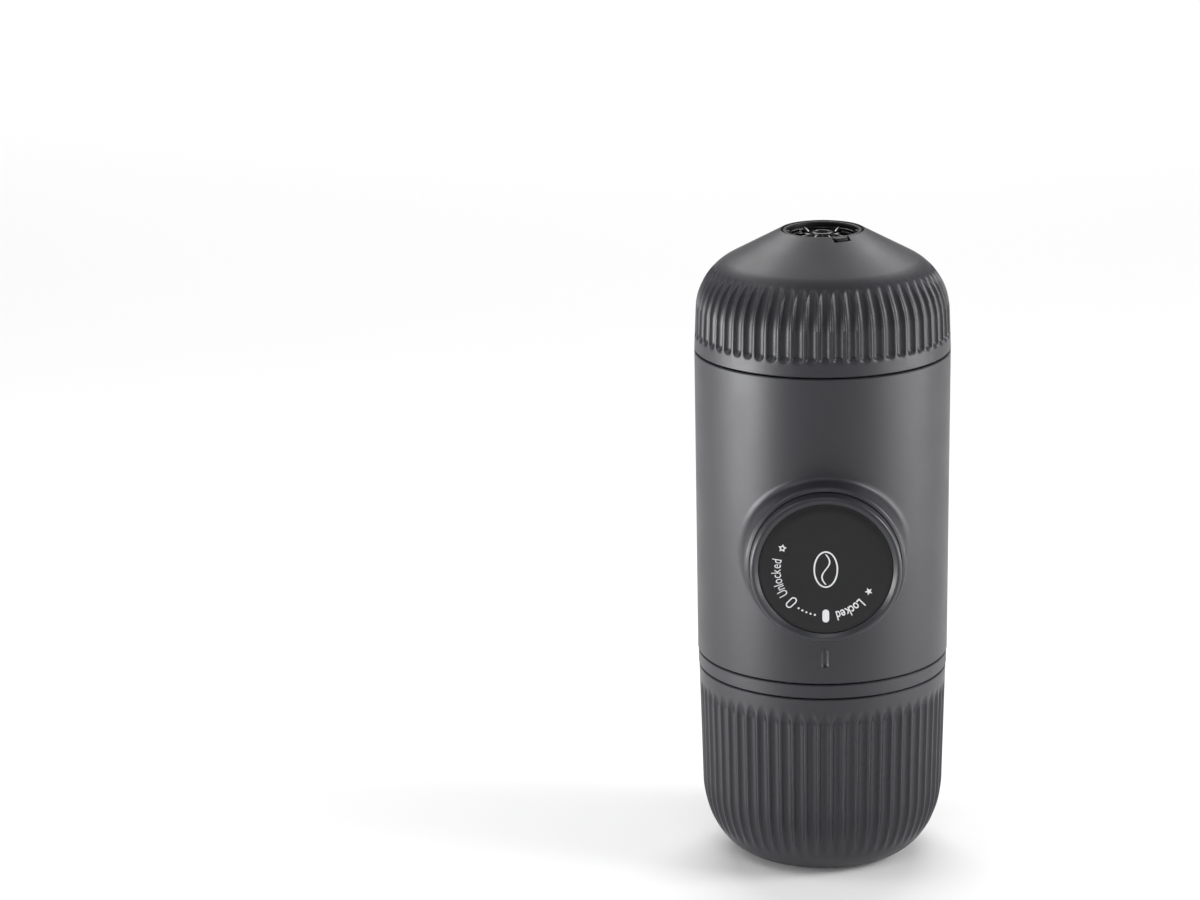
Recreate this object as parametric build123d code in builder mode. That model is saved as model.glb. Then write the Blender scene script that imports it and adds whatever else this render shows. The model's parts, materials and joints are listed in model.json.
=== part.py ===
"""Handheld manual espresso maker: a radial hand pump in a tubular body, with a portafilter
screwed on top, a water tank screwed in below and a cup that slips over the tank.

Frame: base centre of the cup at the origin, +Z up, the pump knob facing -Y. Millimetres.
"""
from build123d import *
import math
import os

os.makedirs("parts", exist_ok=True)

# ---------------------------------------------------------------- driving dimensions
# heights, seam to seam
cup_height = 48.0
band_height = 3.75
body_length = 75.0
cap_height = 29.25
seam_gap = 0.35
edge_break = 0.25

# clearances
slip = 0.3
seal_gap = 0.3
run_fit = 0.06
fit = 0.1
thread_gap = 0.7

# outer walls: each piece sits a little inside the one above it
body_radius = 30.8
body_draft = 0.3
band_step = 0.15
cup_step = 0.15
cup_draft = 0.7

# cup
cup_wall = 2.6
cup_floor = 2.2
cup_corner_width = 13.0
cup_corner_height = 18.9

# flutes
flute_count = 60
flute_depth = 0.75
flute_radius = 1.4
cup_flute_margin = 5.0
cup_flute_run = 40.0
cup_flute_sweep = 19.0
cap_flute_margin = 4.9
cap_flute_run = 18.0
cap_flute_sweep = 45.0

# tank
tank_gap = 0.5
tank_wall = 1.8
tank_rise = 6.8
tank_floor = 2.0
tank_corner_width = 11.5
tank_corner_height = 12.0
neck_wall = 2.6
grip_ring_section = 0.9
grip_ring_drop = 5.0

# body shell
shell_wall = 2.2
ledge_width = 1.6
ledge_height = 1.5
collar_reach = 5.65
collar_wall = 1.1
collar_flare = 0.6
collar_fillet = 3.6
collar_round = 1.7
collar_lip = 3.05
well_wall = 1.3
index_length = 5.0
index_width = 1.8
index_depth = 0.45
index_rise = 6.6

# knob
knob_radius = 17.8
knob_reach = 9.4
knob_wall = 2.0
knob_plate = 2.2
knob_hub_radius = 6.0
knob_hub = 3.3
disc_gap = 0.35
disc_thickness = 1.0
disc_recess = 0.6
lug_length = 2.8
lug_height = 0.8
lug_width = 5.0
lug_count = 3
skirt_gap = 0.5
snap_ring = 1.2

# pump, along its axis from the back wall to the well
pump_rise = 31.5
back_wall = 4.25
chamber_length = 3.0
piston_end_gap = 0.7
piston_length = 5.5
piston_margin = 3.5
liner_bore = 9.0
liner_wall = 1.4
liner_flange = 1.5
barrel_wall = 2.8
barrel_step = 3.0
port_radius = 1.1
port_wall = 2.0
rod_radius = 4.5
piston_ring_section = 0.9
screw_radius = 2.0
screw_depth = 8.0
screw_head_radius = 3.8
screw_head = 1.1

# return spring
spring_gap = 3.2
spring_wire = 0.8
spring_turns = 6

# pump housing
deck = 3.0
bottom_deck_rise = 8.0
top_deck_drop = 11.75
rib = 2.4
rib_gap = 2.4
gasket_height = 1.5
valve_radius = 3.5
valve_seat = 1.3
flap_gap = 0.7
flap = 0.6
flap_lift = 0.7
strainer = 0.7
vent_radius = 3.0
vent_cap = 0.6
vent_stem_radius = 1.2
vent_place = 10.0

# group head
flange_height = 4.0
spigot_rise = 6.5
spigot_wall = 3.1
plug_wall = 1.0
shower_thickness = 0.8
shower_hole = 0.6
shower_pitch = 4.6
shower_rings = 3
group_gasket_width = 3.2
gasket_proud = 0.5
group_screw_circle = 15.5
group_screw_count = 4
group_screw_radius = 1.45
group_screw_head_radius = 2.7
group_screw_head = 1.8
group_screw_length = 9.0

# portafilter
cap_draft = 0.7
cap_wall = 4.6
cap_cone_angle = 28.5
cap_shoulder = 14.6
nozzle_bore = 9.9
nozzle_rim = 0.25
nozzle_depth = 2.85
basket_seat_rise = 8.8
funnel_rise = 21.6
funnel_slope = 2.6
outlet_bore = 3.4

# outlet head
head_ring = 1.3
head_floor = 0.8
hub_radius = 2.6
hub_drop = 0.6
spoke_count = 6
spoke_width = 0.9
spoke_drop = 1.0
window_radius = 1.35
window_circle = 5.6
stem_gap = 1.0
stem_length = 2.6
outlet_hole = 1.2
outlet_ring_section = 0.45
tab_angle = -66.0
tab_width = 3.6
tab_reach = 1.2
tab_thickness = 1.0

# filter basket, its mesh and the scoop
basket_wall = 1.7
basket_rim_width = 2.5
basket_rim = 1.2
mesh_thickness = 0.5
mesh_lip = 1.3
mesh_cover = 0.6
mesh_hole = 0.45
mesh_pitch = 3.4
mesh_rings = 4
scoop_gap = 1.0
scoop_height = 8.5
scoop_wall = 1.6
scoop_taper = 1.2

# ---------------------------------------------------------------- levels worked out from them
body_bottom = cup_height + band_height
body_top = body_bottom + body_length
cap_top = body_top + cap_height
pump_z = body_bottom + pump_rise
deck_z = body_bottom + bottom_deck_rise
top_deck_z = body_top - top_deck_drop
neck_top = deck_z - gasket_height - seal_gap
spigot_top = body_top + spigot_rise
gasket_top = spigot_top + gasket_proud

# radii, from the outer walls inwards
body_low_radius = body_radius - body_draft
band_radius = body_low_radius - band_step
cup_top_radius = band_radius - cup_step
cup_low_radius = cup_top_radius - cup_draft
tank_radius = cup_low_radius - cup_wall - tank_gap
shell_bore = body_low_radius - shell_wall
deck_radius = shell_bore - fit
ledge_bore = shell_bore - ledge_width
inner_deck_radius = ledge_bore - slip
neck_radius = shell_bore - thread_gap
neck_bore = neck_radius - neck_wall
cap_thread_bore = body_radius - cap_wall
spigot_radius = cap_thread_bore - thread_gap
basket_rim_radius = spigot_radius - spigot_wall
basket_radius = basket_rim_radius - basket_rim_width
basket_bore = basket_radius - basket_wall
group_gasket_inner = basket_rim_radius - group_gasket_width

# radii round the pump's axis, from the knob outwards and inwards
mouth_radius = knob_radius + slip
well_radius = mouth_radius + lug_height
barrel_radius = well_radius + well_wall
collar_radius = well_radius + collar_wall
collar_base_radius = collar_radius + collar_flare
knob_bore = knob_radius - knob_wall
disc_radius = knob_bore - disc_gap
spring_radius = knob_bore - spring_gap
liner_flange_radius = spring_radius + 2 * spring_wire
barrel_rear_radius = liner_bore + liner_wall + barrel_wall

# reaches along the pump's axis, out of the knob
knob_front = body_radius + knob_reach
disc_seat = knob_front - disc_recess - disc_thickness
plate_back = disc_seat - knob_plate
hub_back = plate_back - knob_hub
collar_front = body_radius + collar_reach
collar_root = math.sqrt(body_low_radius ** 2 - collar_base_radius ** 2) - shell_wall / 2
lug_stop = collar_front - collar_lip - snap_ring - slip
barrel_front = math.sqrt(inner_deck_radius ** 2 - barrel_radius ** 2)
barrel_back = -math.sqrt(inner_deck_radius ** 2 - barrel_rear_radius ** 2)
chamber_back = barrel_back + back_wall
liner_back = chamber_back + chamber_length
port_reach = (liner_back + chamber_back) / 2
piston_face = liner_back + piston_end_gap
piston_back = piston_face + piston_length
# the knob and the piston travel together, so the space between the back wall and the stop
# of the lugs holds two strokes
stroke = (lug_stop - lug_length - skirt_gap + liner_flange - piston_margin - piston_back) / 2
skirt_end = lug_stop - lug_length - stroke
well_floor = skirt_end - skirt_gap
liner_front = well_floor + liner_flange
rib_reach = inner_deck_radius - rib_gap

pump_axis = Axis((0, 0, pump_z), (0, -1, 0))
pump_section = Plane(origin=(0, 0, pump_z), x_dir=(0, -1, 0), z_dir=(-1, 0, 0))
pump_front = Plane(origin=(0, 0, pump_z), x_dir=(1, 0, 0), z_dir=(0, -1, 0))


def block(low_x, high_x, low_y, high_y, mode=Mode.ADD):
    """A rectangle of the sketch given by its sides: on a section, a ring when it is revolved."""
    with Locations(((low_x + high_x) / 2, (low_y + high_y) / 2)):
        Rectangle(high_x - low_x, high_y - low_y, mode=mode)


def hex_pattern(rings, pitch):
    """Places of a hexagonal hole pattern of so many rings round a centre hole."""
    places = [(0.0, 0.0)]
    for ring in range(1, rings + 1):
        for step in range(6 * ring):
            angle = math.tau * step / (6 * ring)
            places.append((ring * pitch * math.cos(angle), ring * pitch * math.sin(angle)))
    return places


def port_circle(radius, mode=Mode.ADD):
    """A circle of the sketch round the column of the water ports."""
    with Locations((0, -port_reach)):
        Circle(radius, mode=mode)


def finish(piece, name):
    piece.part.label = name
    export_step(piece.part, f"parts/{name}.step")


# ---------------------------------------------------------------- cup
cup_rim = cup_height - seam_gap
cup_flat = cup_low_radius - cup_corner_width
cup_inner_low = cup_low_radius - cup_wall
cup_inner_top = cup_top_radius - cup_wall
cup_lean = (cup_top_radius - cup_low_radius) / (cup_rim - cup_corner_height)
flute_offset = flute_radius - flute_depth

# one flute: a ball-ended groove down the wall that runs out over the rounded bottom
cup_flute_top = cup_rim - cup_flute_margin
with BuildPart() as cup_flute:
    with BuildLine(Plane.XZ) as cup_flute_path:
        cup_flute_wall = Line(
            (cup_low_radius + flute_offset + cup_lean * (cup_flute_top - cup_corner_height),
             cup_flute_top),
            (cup_low_radius + flute_offset, cup_corner_height),
        )
        JernArc(cup_flute_wall @ 1, cup_flute_wall % 1, cup_flute_run, -cup_flute_sweep)
    with BuildSketch(cup_flute_path.line ^ 0):
        Circle(flute_radius)
    sweep()
    with Locations(cup_flute_path.line @ 0):
        Sphere(flute_radius)

with BuildPart() as cup:
    with BuildSketch(Plane.XZ):
        with BuildLine():
            Polyline((0, cup_floor), (0, 0), (cup_flat, 0))
            EllipticalCenterArc((cup_flat, cup_corner_height), cup_corner_width,
                                cup_corner_height, start_angle=270, arc_size=90)
            Polyline((cup_low_radius, cup_corner_height),
                     (cup_top_radius, cup_rim - edge_break),
                     (cup_top_radius - edge_break, cup_rim),
                     (cup_inner_top, cup_rim),
                     (cup_inner_low, cup_corner_height))
            EllipticalCenterArc((cup_flat, cup_corner_height), cup_inner_low - cup_flat,
                                cup_corner_height - cup_floor, start_angle=270, arc_size=90)
            Line((cup_flat, cup_floor), (0, cup_floor))
        make_face()
    revolve(axis=Axis.Z)
    with PolarLocations(0, flute_count):
        add(cup_flute.part, mode=Mode.SUBTRACT)
finish(cup, "cup")

# ---------------------------------------------------------------- water tank and its grip ring
tank_bottom = cup_floor + tank_rise
tank_flat = tank_radius - tank_corner_width
tank_corner_z = tank_bottom + tank_corner_height
tank_inner = tank_radius - tank_wall
band_top = body_bottom - seam_gap
grip_ring_z = cup_rim - grip_ring_drop
grip_ring_reach = (cup_inner_low + cup_lean * (grip_ring_z - cup_corner_height) - seal_gap)
with BuildPart() as water_tank:
    with BuildSketch(Plane.XZ):
        with BuildLine():
            Polyline((0, tank_bottom + tank_floor), (0, tank_bottom), (tank_flat, tank_bottom))
            EllipticalCenterArc((tank_flat, tank_corner_z), tank_corner_width,
                                tank_corner_height, start_angle=270, arc_size=90)
            Polyline((tank_radius, tank_corner_z),
                     (tank_radius, cup_height),
                     (band_radius - edge_break, cup_height),
                     (band_radius, cup_height + edge_break),
                     (band_radius, band_top - edge_break),
                     (band_radius - edge_break, band_top),
                     (neck_radius, band_top),
                     (neck_radius, neck_top),
                     (neck_bore, neck_top),
                     (tank_inner, cup_height),
                     (tank_inner, tank_corner_z))
            EllipticalCenterArc((tank_flat, tank_corner_z), tank_inner - tank_flat,
                                tank_corner_height - tank_floor,
                                start_angle=270, arc_size=90)
            Line((tank_flat, tank_bottom + tank_floor), (0, tank_bottom + tank_floor))
        make_face()
    with BuildSketch(Plane.XZ, mode=Mode.PRIVATE) as grip_groove:
        with Locations((grip_ring_reach - grip_ring_section, grip_ring_z)):
            Circle(grip_ring_section)
    revolve(axis=Axis.Z)
    revolve(grip_groove.sketch, axis=Axis.Z, mode=Mode.SUBTRACT)
finish(water_tank, "water_tank")

with BuildPart() as cup_grip_ring:
    add(revolve(grip_groove.sketch, axis=Axis.Z, mode=Mode.PRIVATE))
finish(cup_grip_ring, "cup_grip_ring")

# ---------------------------------------------------------------- body shell
with BuildPart() as body_shell:
    with BuildSketch(Plane.XZ):
        Polygon((0, body_bottom),
                (body_low_radius - edge_break, body_bottom),
                (body_low_radius, body_bottom + edge_break),
                (body_radius, body_top - edge_break),
                (body_radius - edge_break, body_top),
                (0, body_top),
                align=None)
    revolve(axis=Axis.Z)
    with BuildSketch(pump_section):
        Polygon((collar_root, 0), (collar_root, collar_base_radius),
                (collar_front, collar_radius), (collar_front, 0), align=None)
    revolve(axis=pump_axis)
    fillet(edges(Select.LAST).filter_by(GeomType.BSPLINE), collar_fillet)
    fillet(edges().filter_by(GeomType.CIRCLE).group_by(Axis.Y)[0], collar_round)
    # the bore from end to end, with a ledge under the group head and one over the pump housing
    with BuildSketch(Plane.XZ):
        block(0, shell_bore, body_bottom, body_top)
        block(ledge_bore, shell_bore, deck_z + deck, deck_z + deck + ledge_height,
              mode=Mode.SUBTRACT)
        block(ledge_bore, shell_bore, body_top - flange_height - ledge_height,
              body_top - flange_height, mode=Mode.SUBTRACT)
    revolve(axis=Axis.Z, mode=Mode.SUBTRACT)
    # the well tube inside the collar, its mouth and the groove of the snap ring
    with BuildSketch(pump_section):
        block(barrel_front, shell_bore, 0, barrel_radius)
    revolve(axis=pump_axis)
    with BuildSketch(pump_section):
        block(barrel_front, collar_front - collar_lip, 0, well_radius)
        block(barrel_front, collar_front, 0, mouth_radius)
    revolve(axis=pump_axis, mode=Mode.SUBTRACT)
    with BuildSketch(pump_front.offset(body_low_radius - index_depth)):
        with Locations((0, index_rise - pump_rise)):
            SlotOverall(index_length, index_width, rotation=90)
    extrude(amount=index_depth * 2, mode=Mode.SUBTRACT)
finish(body_shell, "body_shell")

with BuildPart() as knob_snap_ring:
    with BuildSketch(pump_section):
        block(collar_front - collar_lip - snap_ring, collar_front - collar_lip,
              mouth_radius, well_radius)
    revolve(axis=pump_axis)
finish(knob_snap_ring, "knob_snap_ring")

# ---------------------------------------------------------------- pump housing
valve_pocket = strainer + valve_seat + flap + flap_lift
with BuildPart() as pump_housing:
    with BuildSketch(Plane.XY.offset(deck_z)):
        Circle(deck_radius)
    extrude(amount=deck)
    with BuildSketch(Plane.XY.offset(top_deck_z - deck)):
        Circle(inner_deck_radius)
    extrude(amount=deck)
    # ribs that stiffen the decks, and the column of the two water ports
    with BuildSketch(Plane.XY.offset(deck_z + deck)):
        block(-rib / 2, rib / 2, -barrel_front, -barrel_back)
        block(-rib_reach, rib_reach, -rib / 2, rib / 2)
        port_circle(valve_radius + port_wall)
    extrude(amount=top_deck_z - deck_z - 2 * deck)
    # the barrel: a wide well for the knob and a narrow rear for the cylinder
    with BuildSketch(pump_section):
        block(well_floor - barrel_step, barrel_front, 0, barrel_radius)
        block(barrel_back, well_floor, 0, barrel_rear_radius)
    revolve(axis=pump_axis)
    with BuildSketch(pump_section):
        block(well_floor, rib_reach, 0, well_radius)
        block(liner_back, well_floor, 0, liner_bore + liner_wall)
        block(chamber_back, liner_back, 0, liner_bore)
    revolve(axis=pump_axis, mode=Mode.SUBTRACT)
    # water ports and the pockets of the valves
    with BuildSketch(Plane.XY.offset(deck_z)):
        port_circle(port_radius)
    extrude(amount=top_deck_z - deck_z, mode=Mode.SUBTRACT)
    with BuildSketch(Plane.XY.offset(deck_z)):
        port_circle(valve_radius)
    extrude(amount=valve_pocket, mode=Mode.SUBTRACT)
    with BuildSketch(Plane.XY.offset(top_deck_z)):
        port_circle(valve_radius)
    extrude(amount=-(valve_pocket - strainer), mode=Mode.SUBTRACT)
    # the vent, and clearance holes for the screws of the group head
    with BuildSketch(Plane.XY.offset(deck_z)):
        with Locations((vent_place, -vent_place)):
            Circle(vent_stem_radius)
    extrude(amount=deck + vent_cap, mode=Mode.SUBTRACT)
    with BuildSketch(Plane.XY.offset(top_deck_z - deck)):
        with PolarLocations(group_screw_circle, group_screw_count, start_angle=45):
            Circle(group_screw_radius + fit)
    extrude(amount=deck, mode=Mode.SUBTRACT)
finish(pump_housing, "pump_housing")

with BuildPart() as cylinder_liner:
    with BuildSketch(pump_section):
        block(liner_back, liner_front, liner_bore, liner_bore + liner_wall)
        block(well_floor, liner_front, liner_bore, liner_flange_radius)
    revolve(axis=pump_axis)
finish(cylinder_liner, "cylinder_liner")

inlet_seat_z = deck_z + strainer
outlet_seat_z = top_deck_z - valve_pocket + strainer
with BuildPart() as inlet_strainer:
    with BuildSketch(Plane.XY.offset(deck_z)):
        port_circle(valve_radius)
        with Locations((0, -port_reach)):
            with PolarLocations(valve_radius / 2, spoke_count):
                Circle(mesh_hole, mode=Mode.SUBTRACT)
    extrude(amount=strainer)
finish(inlet_strainer, "inlet_strainer")

with BuildPart() as inlet_valve_seat:
    with BuildSketch(Plane.XY.offset(inlet_seat_z)):
        port_circle(valve_radius)
        port_circle(port_radius, mode=Mode.SUBTRACT)
    extrude(amount=valve_seat)
finish(inlet_valve_seat, "inlet_valve_seat")

with BuildPart() as inlet_valve_flap:
    with BuildSketch(Plane.XY.offset(inlet_seat_z + valve_seat)):
        port_circle(valve_radius - flap_gap)
    extrude(amount=flap)
finish(inlet_valve_flap, "inlet_valve_flap")

with BuildPart() as outlet_valve_seat:
    with BuildSketch(Plane.XY.offset(outlet_seat_z)):
        port_circle(valve_radius)
        port_circle(port_radius, mode=Mode.SUBTRACT)
    extrude(amount=valve_seat)
finish(outlet_valve_seat, "outlet_valve_seat")

with BuildPart() as outlet_valve_flap:
    with BuildSketch(Plane.XY.offset(outlet_seat_z + valve_seat)):
        port_circle(valve_radius - flap_gap)
    extrude(amount=flap)
finish(outlet_valve_flap, "outlet_valve_flap")

with BuildPart() as vent_valve:
    with BuildSketch(Plane.XY.offset(deck_z)):
        with Locations((vent_place, -vent_place)):
            Circle(vent_radius)
    extrude(amount=-vent_cap)
    with BuildSketch(Plane.XY.offset(deck_z)):
        with Locations((vent_place, -vent_place)):
            Circle(vent_stem_radius)
    extrude(amount=deck + vent_cap)
    fillet(edges().group_by(Axis.Z)[0], vent_cap / 2)
finish(vent_valve, "vent_valve")

with BuildPart() as tank_gasket:
    with BuildSketch(Plane.XY.offset(deck_z)):
        Circle(deck_radius - fit)
        Circle(neck_bore - fit, mode=Mode.SUBTRACT)
    extrude(amount=-gasket_height)
finish(tank_gasket, "tank_gasket")

# ---------------------------------------------------------------- group head
gasket_groove_z = gasket_top - gasket_height
plug_radius = valve_radius - port_reach + plug_wall
with BuildPart() as group_head:
    with BuildSketch(Plane.XZ):
        block(0, plug_radius, top_deck_z, body_top - flange_height)
        block(0, deck_radius, body_top - flange_height, body_top)
        block(0, spigot_radius, body_top, spigot_top)
        block(group_gasket_inner, basket_rim_radius, gasket_groove_z, spigot_top,
              mode=Mode.SUBTRACT)
        block(0, basket_bore, spigot_top - 2 * shower_thickness, spigot_top,
              mode=Mode.SUBTRACT)
    revolve(axis=Axis.Z)
    fillet(edges().group_by(Axis.Z)[-1].sort_by(SortBy.RADIUS)[-1], edge_break)
    # the port up to the water chamber under the shower screen, and pilot holes for the screws
    with BuildSketch(Plane.XY.offset(top_deck_z)):
        port_circle(port_radius)
    extrude(amount=spigot_top - top_deck_z, mode=Mode.SUBTRACT)
    with BuildSketch(Plane.XY.offset(top_deck_z)):
        with PolarLocations(group_screw_circle, group_screw_count, start_angle=45):
            Circle(group_screw_radius)
    extrude(amount=group_screw_length - deck, mode=Mode.SUBTRACT)
finish(group_head, "group_head")

with BuildPart() as shower_screen:
    with BuildSketch(Plane.XY.offset(spigot_top - shower_thickness)):
        Circle(basket_bore)
        with Locations(*hex_pattern(shower_rings, shower_pitch)):
            Circle(shower_hole, mode=Mode.SUBTRACT)
    extrude(amount=shower_thickness)
    with BuildSketch(Plane.XY.offset(spigot_top - 2 * shower_thickness)):
        Circle(basket_bore)
        Circle(basket_bore - shower_thickness, mode=Mode.SUBTRACT)
    extrude(amount=shower_thickness)
finish(shower_screen, "shower_screen")

with BuildPart() as group_gasket:
    with BuildSketch(Plane.XZ):
        block(group_gasket_inner, basket_rim_radius, gasket_groove_z, gasket_top)
        fillet(vertices().group_by(Axis.Y)[-1], edge_break)
    revolve(axis=Axis.Z)
finish(group_gasket, "group_gasket")

with BuildPart() as group_screws:
    with BuildSketch(Plane.XY.offset(top_deck_z - deck)):
        with PolarLocations(group_screw_circle, group_screw_count, start_angle=45):
            Circle(group_screw_head_radius)
    extrude(amount=-group_screw_head)
    with BuildSketch(Plane.XY.offset(top_deck_z - deck)):
        with PolarLocations(group_screw_circle, group_screw_count, start_angle=45):
            Circle(group_screw_radius)
    extrude(amount=group_screw_length)
    fillet(edges().group_by(Axis.Z)[0], group_screw_head / 3)
finish(group_screws, "group_screws")

# ---------------------------------------------------------------- piston
piston_radius = liner_bore - run_fit
ring_reach = (piston_face + piston_back) / 2
ring_seat = liner_bore - seal_gap / 3 - piston_ring_section
with BuildPart() as piston:
    with BuildSketch(pump_section):
        block(piston_face, piston_back, 0, piston_radius)
        block(piston_back, hub_back - fit, 0, rod_radius)
        block(hub_back - fit - screw_depth, hub_back - fit, 0, screw_radius,
              mode=Mode.SUBTRACT)
        with Locations((ring_reach, ring_seat)):
            Circle(piston_ring_section, mode=Mode.SUBTRACT)
        block(ring_reach - piston_ring_section, ring_reach + piston_ring_section,
              ring_seat, piston_radius, mode=Mode.SUBTRACT)
    revolve(axis=pump_axis)
finish(piston, "piston")

with BuildPart() as piston_ring:
    with BuildSketch(pump_section):
        with Locations((ring_reach, ring_seat)):
            Circle(piston_ring_section)
    revolve(axis=pump_axis)
finish(piston_ring, "piston_ring")

screw_seat = disc_seat - screw_head - fit
with BuildPart() as knob_screw:
    with BuildSketch(pump_section):
        block(hub_back - fit - screw_depth, screw_seat, 0, screw_radius)
        block(screw_seat, screw_seat + screw_head, 0, screw_head_radius)
    revolve(axis=pump_axis)
    with BuildSketch(pump_front.offset(screw_seat + screw_head)):
        SlotOverall(2 * screw_radius, screw_radius / 3)
        SlotOverall(2 * screw_radius, screw_radius / 3, rotation=90)
    extrude(amount=-screw_head / 2, mode=Mode.SUBTRACT)
finish(knob_screw, "knob_screw")

# ---------------------------------------------------------------- knob
lug_tip = math.sqrt((well_radius - slip) ** 2 - (lug_width / 2) ** 2)
with BuildPart() as knob:
    with BuildSketch(pump_section) as knob_section:
        block(skirt_end, knob_front, knob_bore, knob_radius)
        block(plate_back, disc_seat, 0, knob_radius)
        block(hub_back, plate_back, 0, knob_hub_radius)
        fillet(vertices().group_by(Axis.X)[-1], knob_wall / 2 - fit)
        block(hub_back, disc_seat, 0, screw_radius + run_fit, mode=Mode.SUBTRACT)
        block(screw_seat - run_fit, disc_seat, 0, screw_head_radius + slip,
              mode=Mode.SUBTRACT)
    revolve(axis=pump_axis)
    with BuildSketch(pump_front.offset(skirt_end)):
        with PolarLocations(0, lug_count, start_angle=90):
            block(knob_bore + slip, lug_tip, -lug_width / 2, lug_width / 2)
    extrude(amount=lug_length)
finish(knob, "knob")

with BuildPart() as knob_disc:
    with BuildSketch(pump_front.offset(disc_seat)):
        Circle(disc_radius)
    extrude(amount=disc_thickness)
    fillet(edges().group_by(Axis.Y)[0], edge_break)
finish(knob_disc, "knob_disc")

# ---------------------------------------------------------------- return spring, pushed in
spring_back = liner_front + spring_wire + fit
spring_front = plate_back - spring_wire - fit
spring_pitch = (spring_front - spring_back) / spring_turns
with BuildPart() as return_spring:
    with BuildLine() as spring_line:
        Helix(spring_pitch, spring_front - spring_back, spring_radius,
              center=(0, -spring_back, pump_z), direction=(0, -1, 0))
    with BuildSketch(spring_line.line ^ 0):
        Circle(spring_wire)
    sweep(is_frenet=True)
finish(return_spring, "return_spring")

# ---------------------------------------------------------------- portafilter
cap_low = body_top + seam_gap
cap_corner_radius = body_radius - cap_draft
nozzle_rim_radius = nozzle_bore + nozzle_rim
cap_rise = (cap_corner_radius - nozzle_rim_radius) * math.tan(math.radians(cap_cone_angle))
cap_corner_z = cap_top - cap_rise
nozzle_floor = cap_top - nozzle_depth
wall_lean = math.atan2(cap_draft, cap_corner_z - body_top)
shoulder_turn = math.radians(90 - cap_cone_angle) - wall_lean
shoulder_leg = cap_shoulder * math.tan(shoulder_turn / 2)
shoulder_radius = cap_corner_radius + shoulder_leg * math.sin(wall_lean)
shoulder_z = cap_corner_z - shoulder_leg * math.cos(wall_lean)
cap_flute_bottom = body_top + cap_flute_margin
cap_flute_radius = cap_corner_radius + (cap_corner_z - cap_flute_bottom) * math.tan(wall_lean)
flute_out = flute_offset * math.cos(wall_lean)
flute_up = flute_offset * math.sin(wall_lean)

# one flute: a ball-ended groove up the wall that runs out over the shoulder
with BuildPart() as cap_flute:
    with BuildLine(Plane.XZ) as cap_flute_path:
        cap_flute_wall = Line((cap_flute_radius + flute_out, cap_flute_bottom + flute_up),
                              (shoulder_radius + flute_out, shoulder_z + flute_up))
        JernArc(cap_flute_wall @ 1, cap_flute_wall % 1, cap_flute_run, cap_flute_sweep)
    with BuildSketch(cap_flute_path.line ^ 0):
        Circle(flute_radius)
    sweep()
    with Locations(cap_flute_path.line @ 0):
        Sphere(flute_radius)

with BuildPart() as portafilter_shell:
    with BuildSketch(Plane.XZ):
        Polygon((outlet_bore, body_top + funnel_rise + funnel_slope),
                (basket_radius, body_top + funnel_rise),
                (basket_radius + slip, body_top + funnel_rise),
                (basket_radius + slip, body_top + basket_seat_rise),
                (cap_thread_bore, body_top + basket_seat_rise),
                (cap_thread_bore, cap_low),
                (body_radius - edge_break, cap_low),
                (body_radius, cap_low + edge_break),
                (cap_corner_radius, cap_corner_z),
                (nozzle_rim_radius, cap_top),
                (nozzle_bore, cap_top),
                (nozzle_bore, nozzle_floor),
                (outlet_bore, nozzle_floor),
                align=None)
        fillet(vertices().sort_by_distance((cap_corner_radius, cap_corner_z))[0], cap_shoulder)
    revolve(axis=Axis.Z)
    with PolarLocations(0, flute_count):
        add(cap_flute.part, mode=Mode.SUBTRACT)
    # the notch in the rim for the tab of the outlet head
    with BuildSketch(Plane.XY.offset(cap_top - tab_thickness - 2 * slip)):
        with PolarLocations(0, 1, start_angle=tab_angle):
            block(nozzle_bore - tab_reach, nozzle_bore + tab_reach + slip,
                  -tab_width / 2 - slip, tab_width / 2 + slip)
    extrude(amount=2 * tab_thickness, mode=Mode.SUBTRACT)
finish(portafilter_shell, "portafilter_shell")

# ---------------------------------------------------------------- outlet head and its O-ring
head_radius = nozzle_bore - slip
head_top = cap_top - fit
hub_top = head_top - hub_drop
stem_radius = outlet_bore - stem_gap
stem_bottom = nozzle_floor - stem_length
outlet_ring_reach = stem_radius + outlet_ring_section - fit
outlet_ring_z = nozzle_floor - stem_length / 2
with BuildPart() as outlet_head:
    with BuildSketch(Plane.XZ):
        block(0, head_radius, nozzle_floor, nozzle_floor + head_floor)
        block(head_radius - head_ring, head_radius, nozzle_floor, head_top)
        block(0, hub_radius, nozzle_floor, hub_top)
        block(0, stem_radius, stem_bottom, nozzle_floor)
        fillet(vertices().group_by(Axis.Y)[-1], head_ring / 3)
        with Locations((outlet_ring_reach, outlet_ring_z)):
            Circle(outlet_ring_section, mode=Mode.SUBTRACT)
    revolve(axis=Axis.Z)
    with BuildSketch(Plane.XY.offset(nozzle_floor)):
        with PolarLocations(0, spoke_count):
            block(hub_radius - spoke_width, head_radius - head_ring / 2,
                  -spoke_width / 2, spoke_width / 2)
    extrude(amount=hub_top - nozzle_floor - spoke_drop)
    with BuildSketch(Plane.XY.offset(head_top - tab_thickness)):
        with PolarLocations(0, 1, start_angle=tab_angle):
            block(head_radius - head_ring / 2, nozzle_bore + tab_reach,
                  -tab_width / 2, tab_width / 2)
    extrude(amount=tab_thickness)
    with BuildSketch(Plane.XY.offset(nozzle_floor)):
        with PolarLocations(window_circle, spoke_count, start_angle=180 / spoke_count):
            Circle(window_radius)
    extrude(amount=head_floor, mode=Mode.SUBTRACT)
    with BuildSketch(Plane.XY.offset(stem_bottom)):
        Circle(outlet_hole)
    extrude(amount=hub_top - stem_bottom, mode=Mode.SUBTRACT)
finish(outlet_head, "outlet_head")

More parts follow.
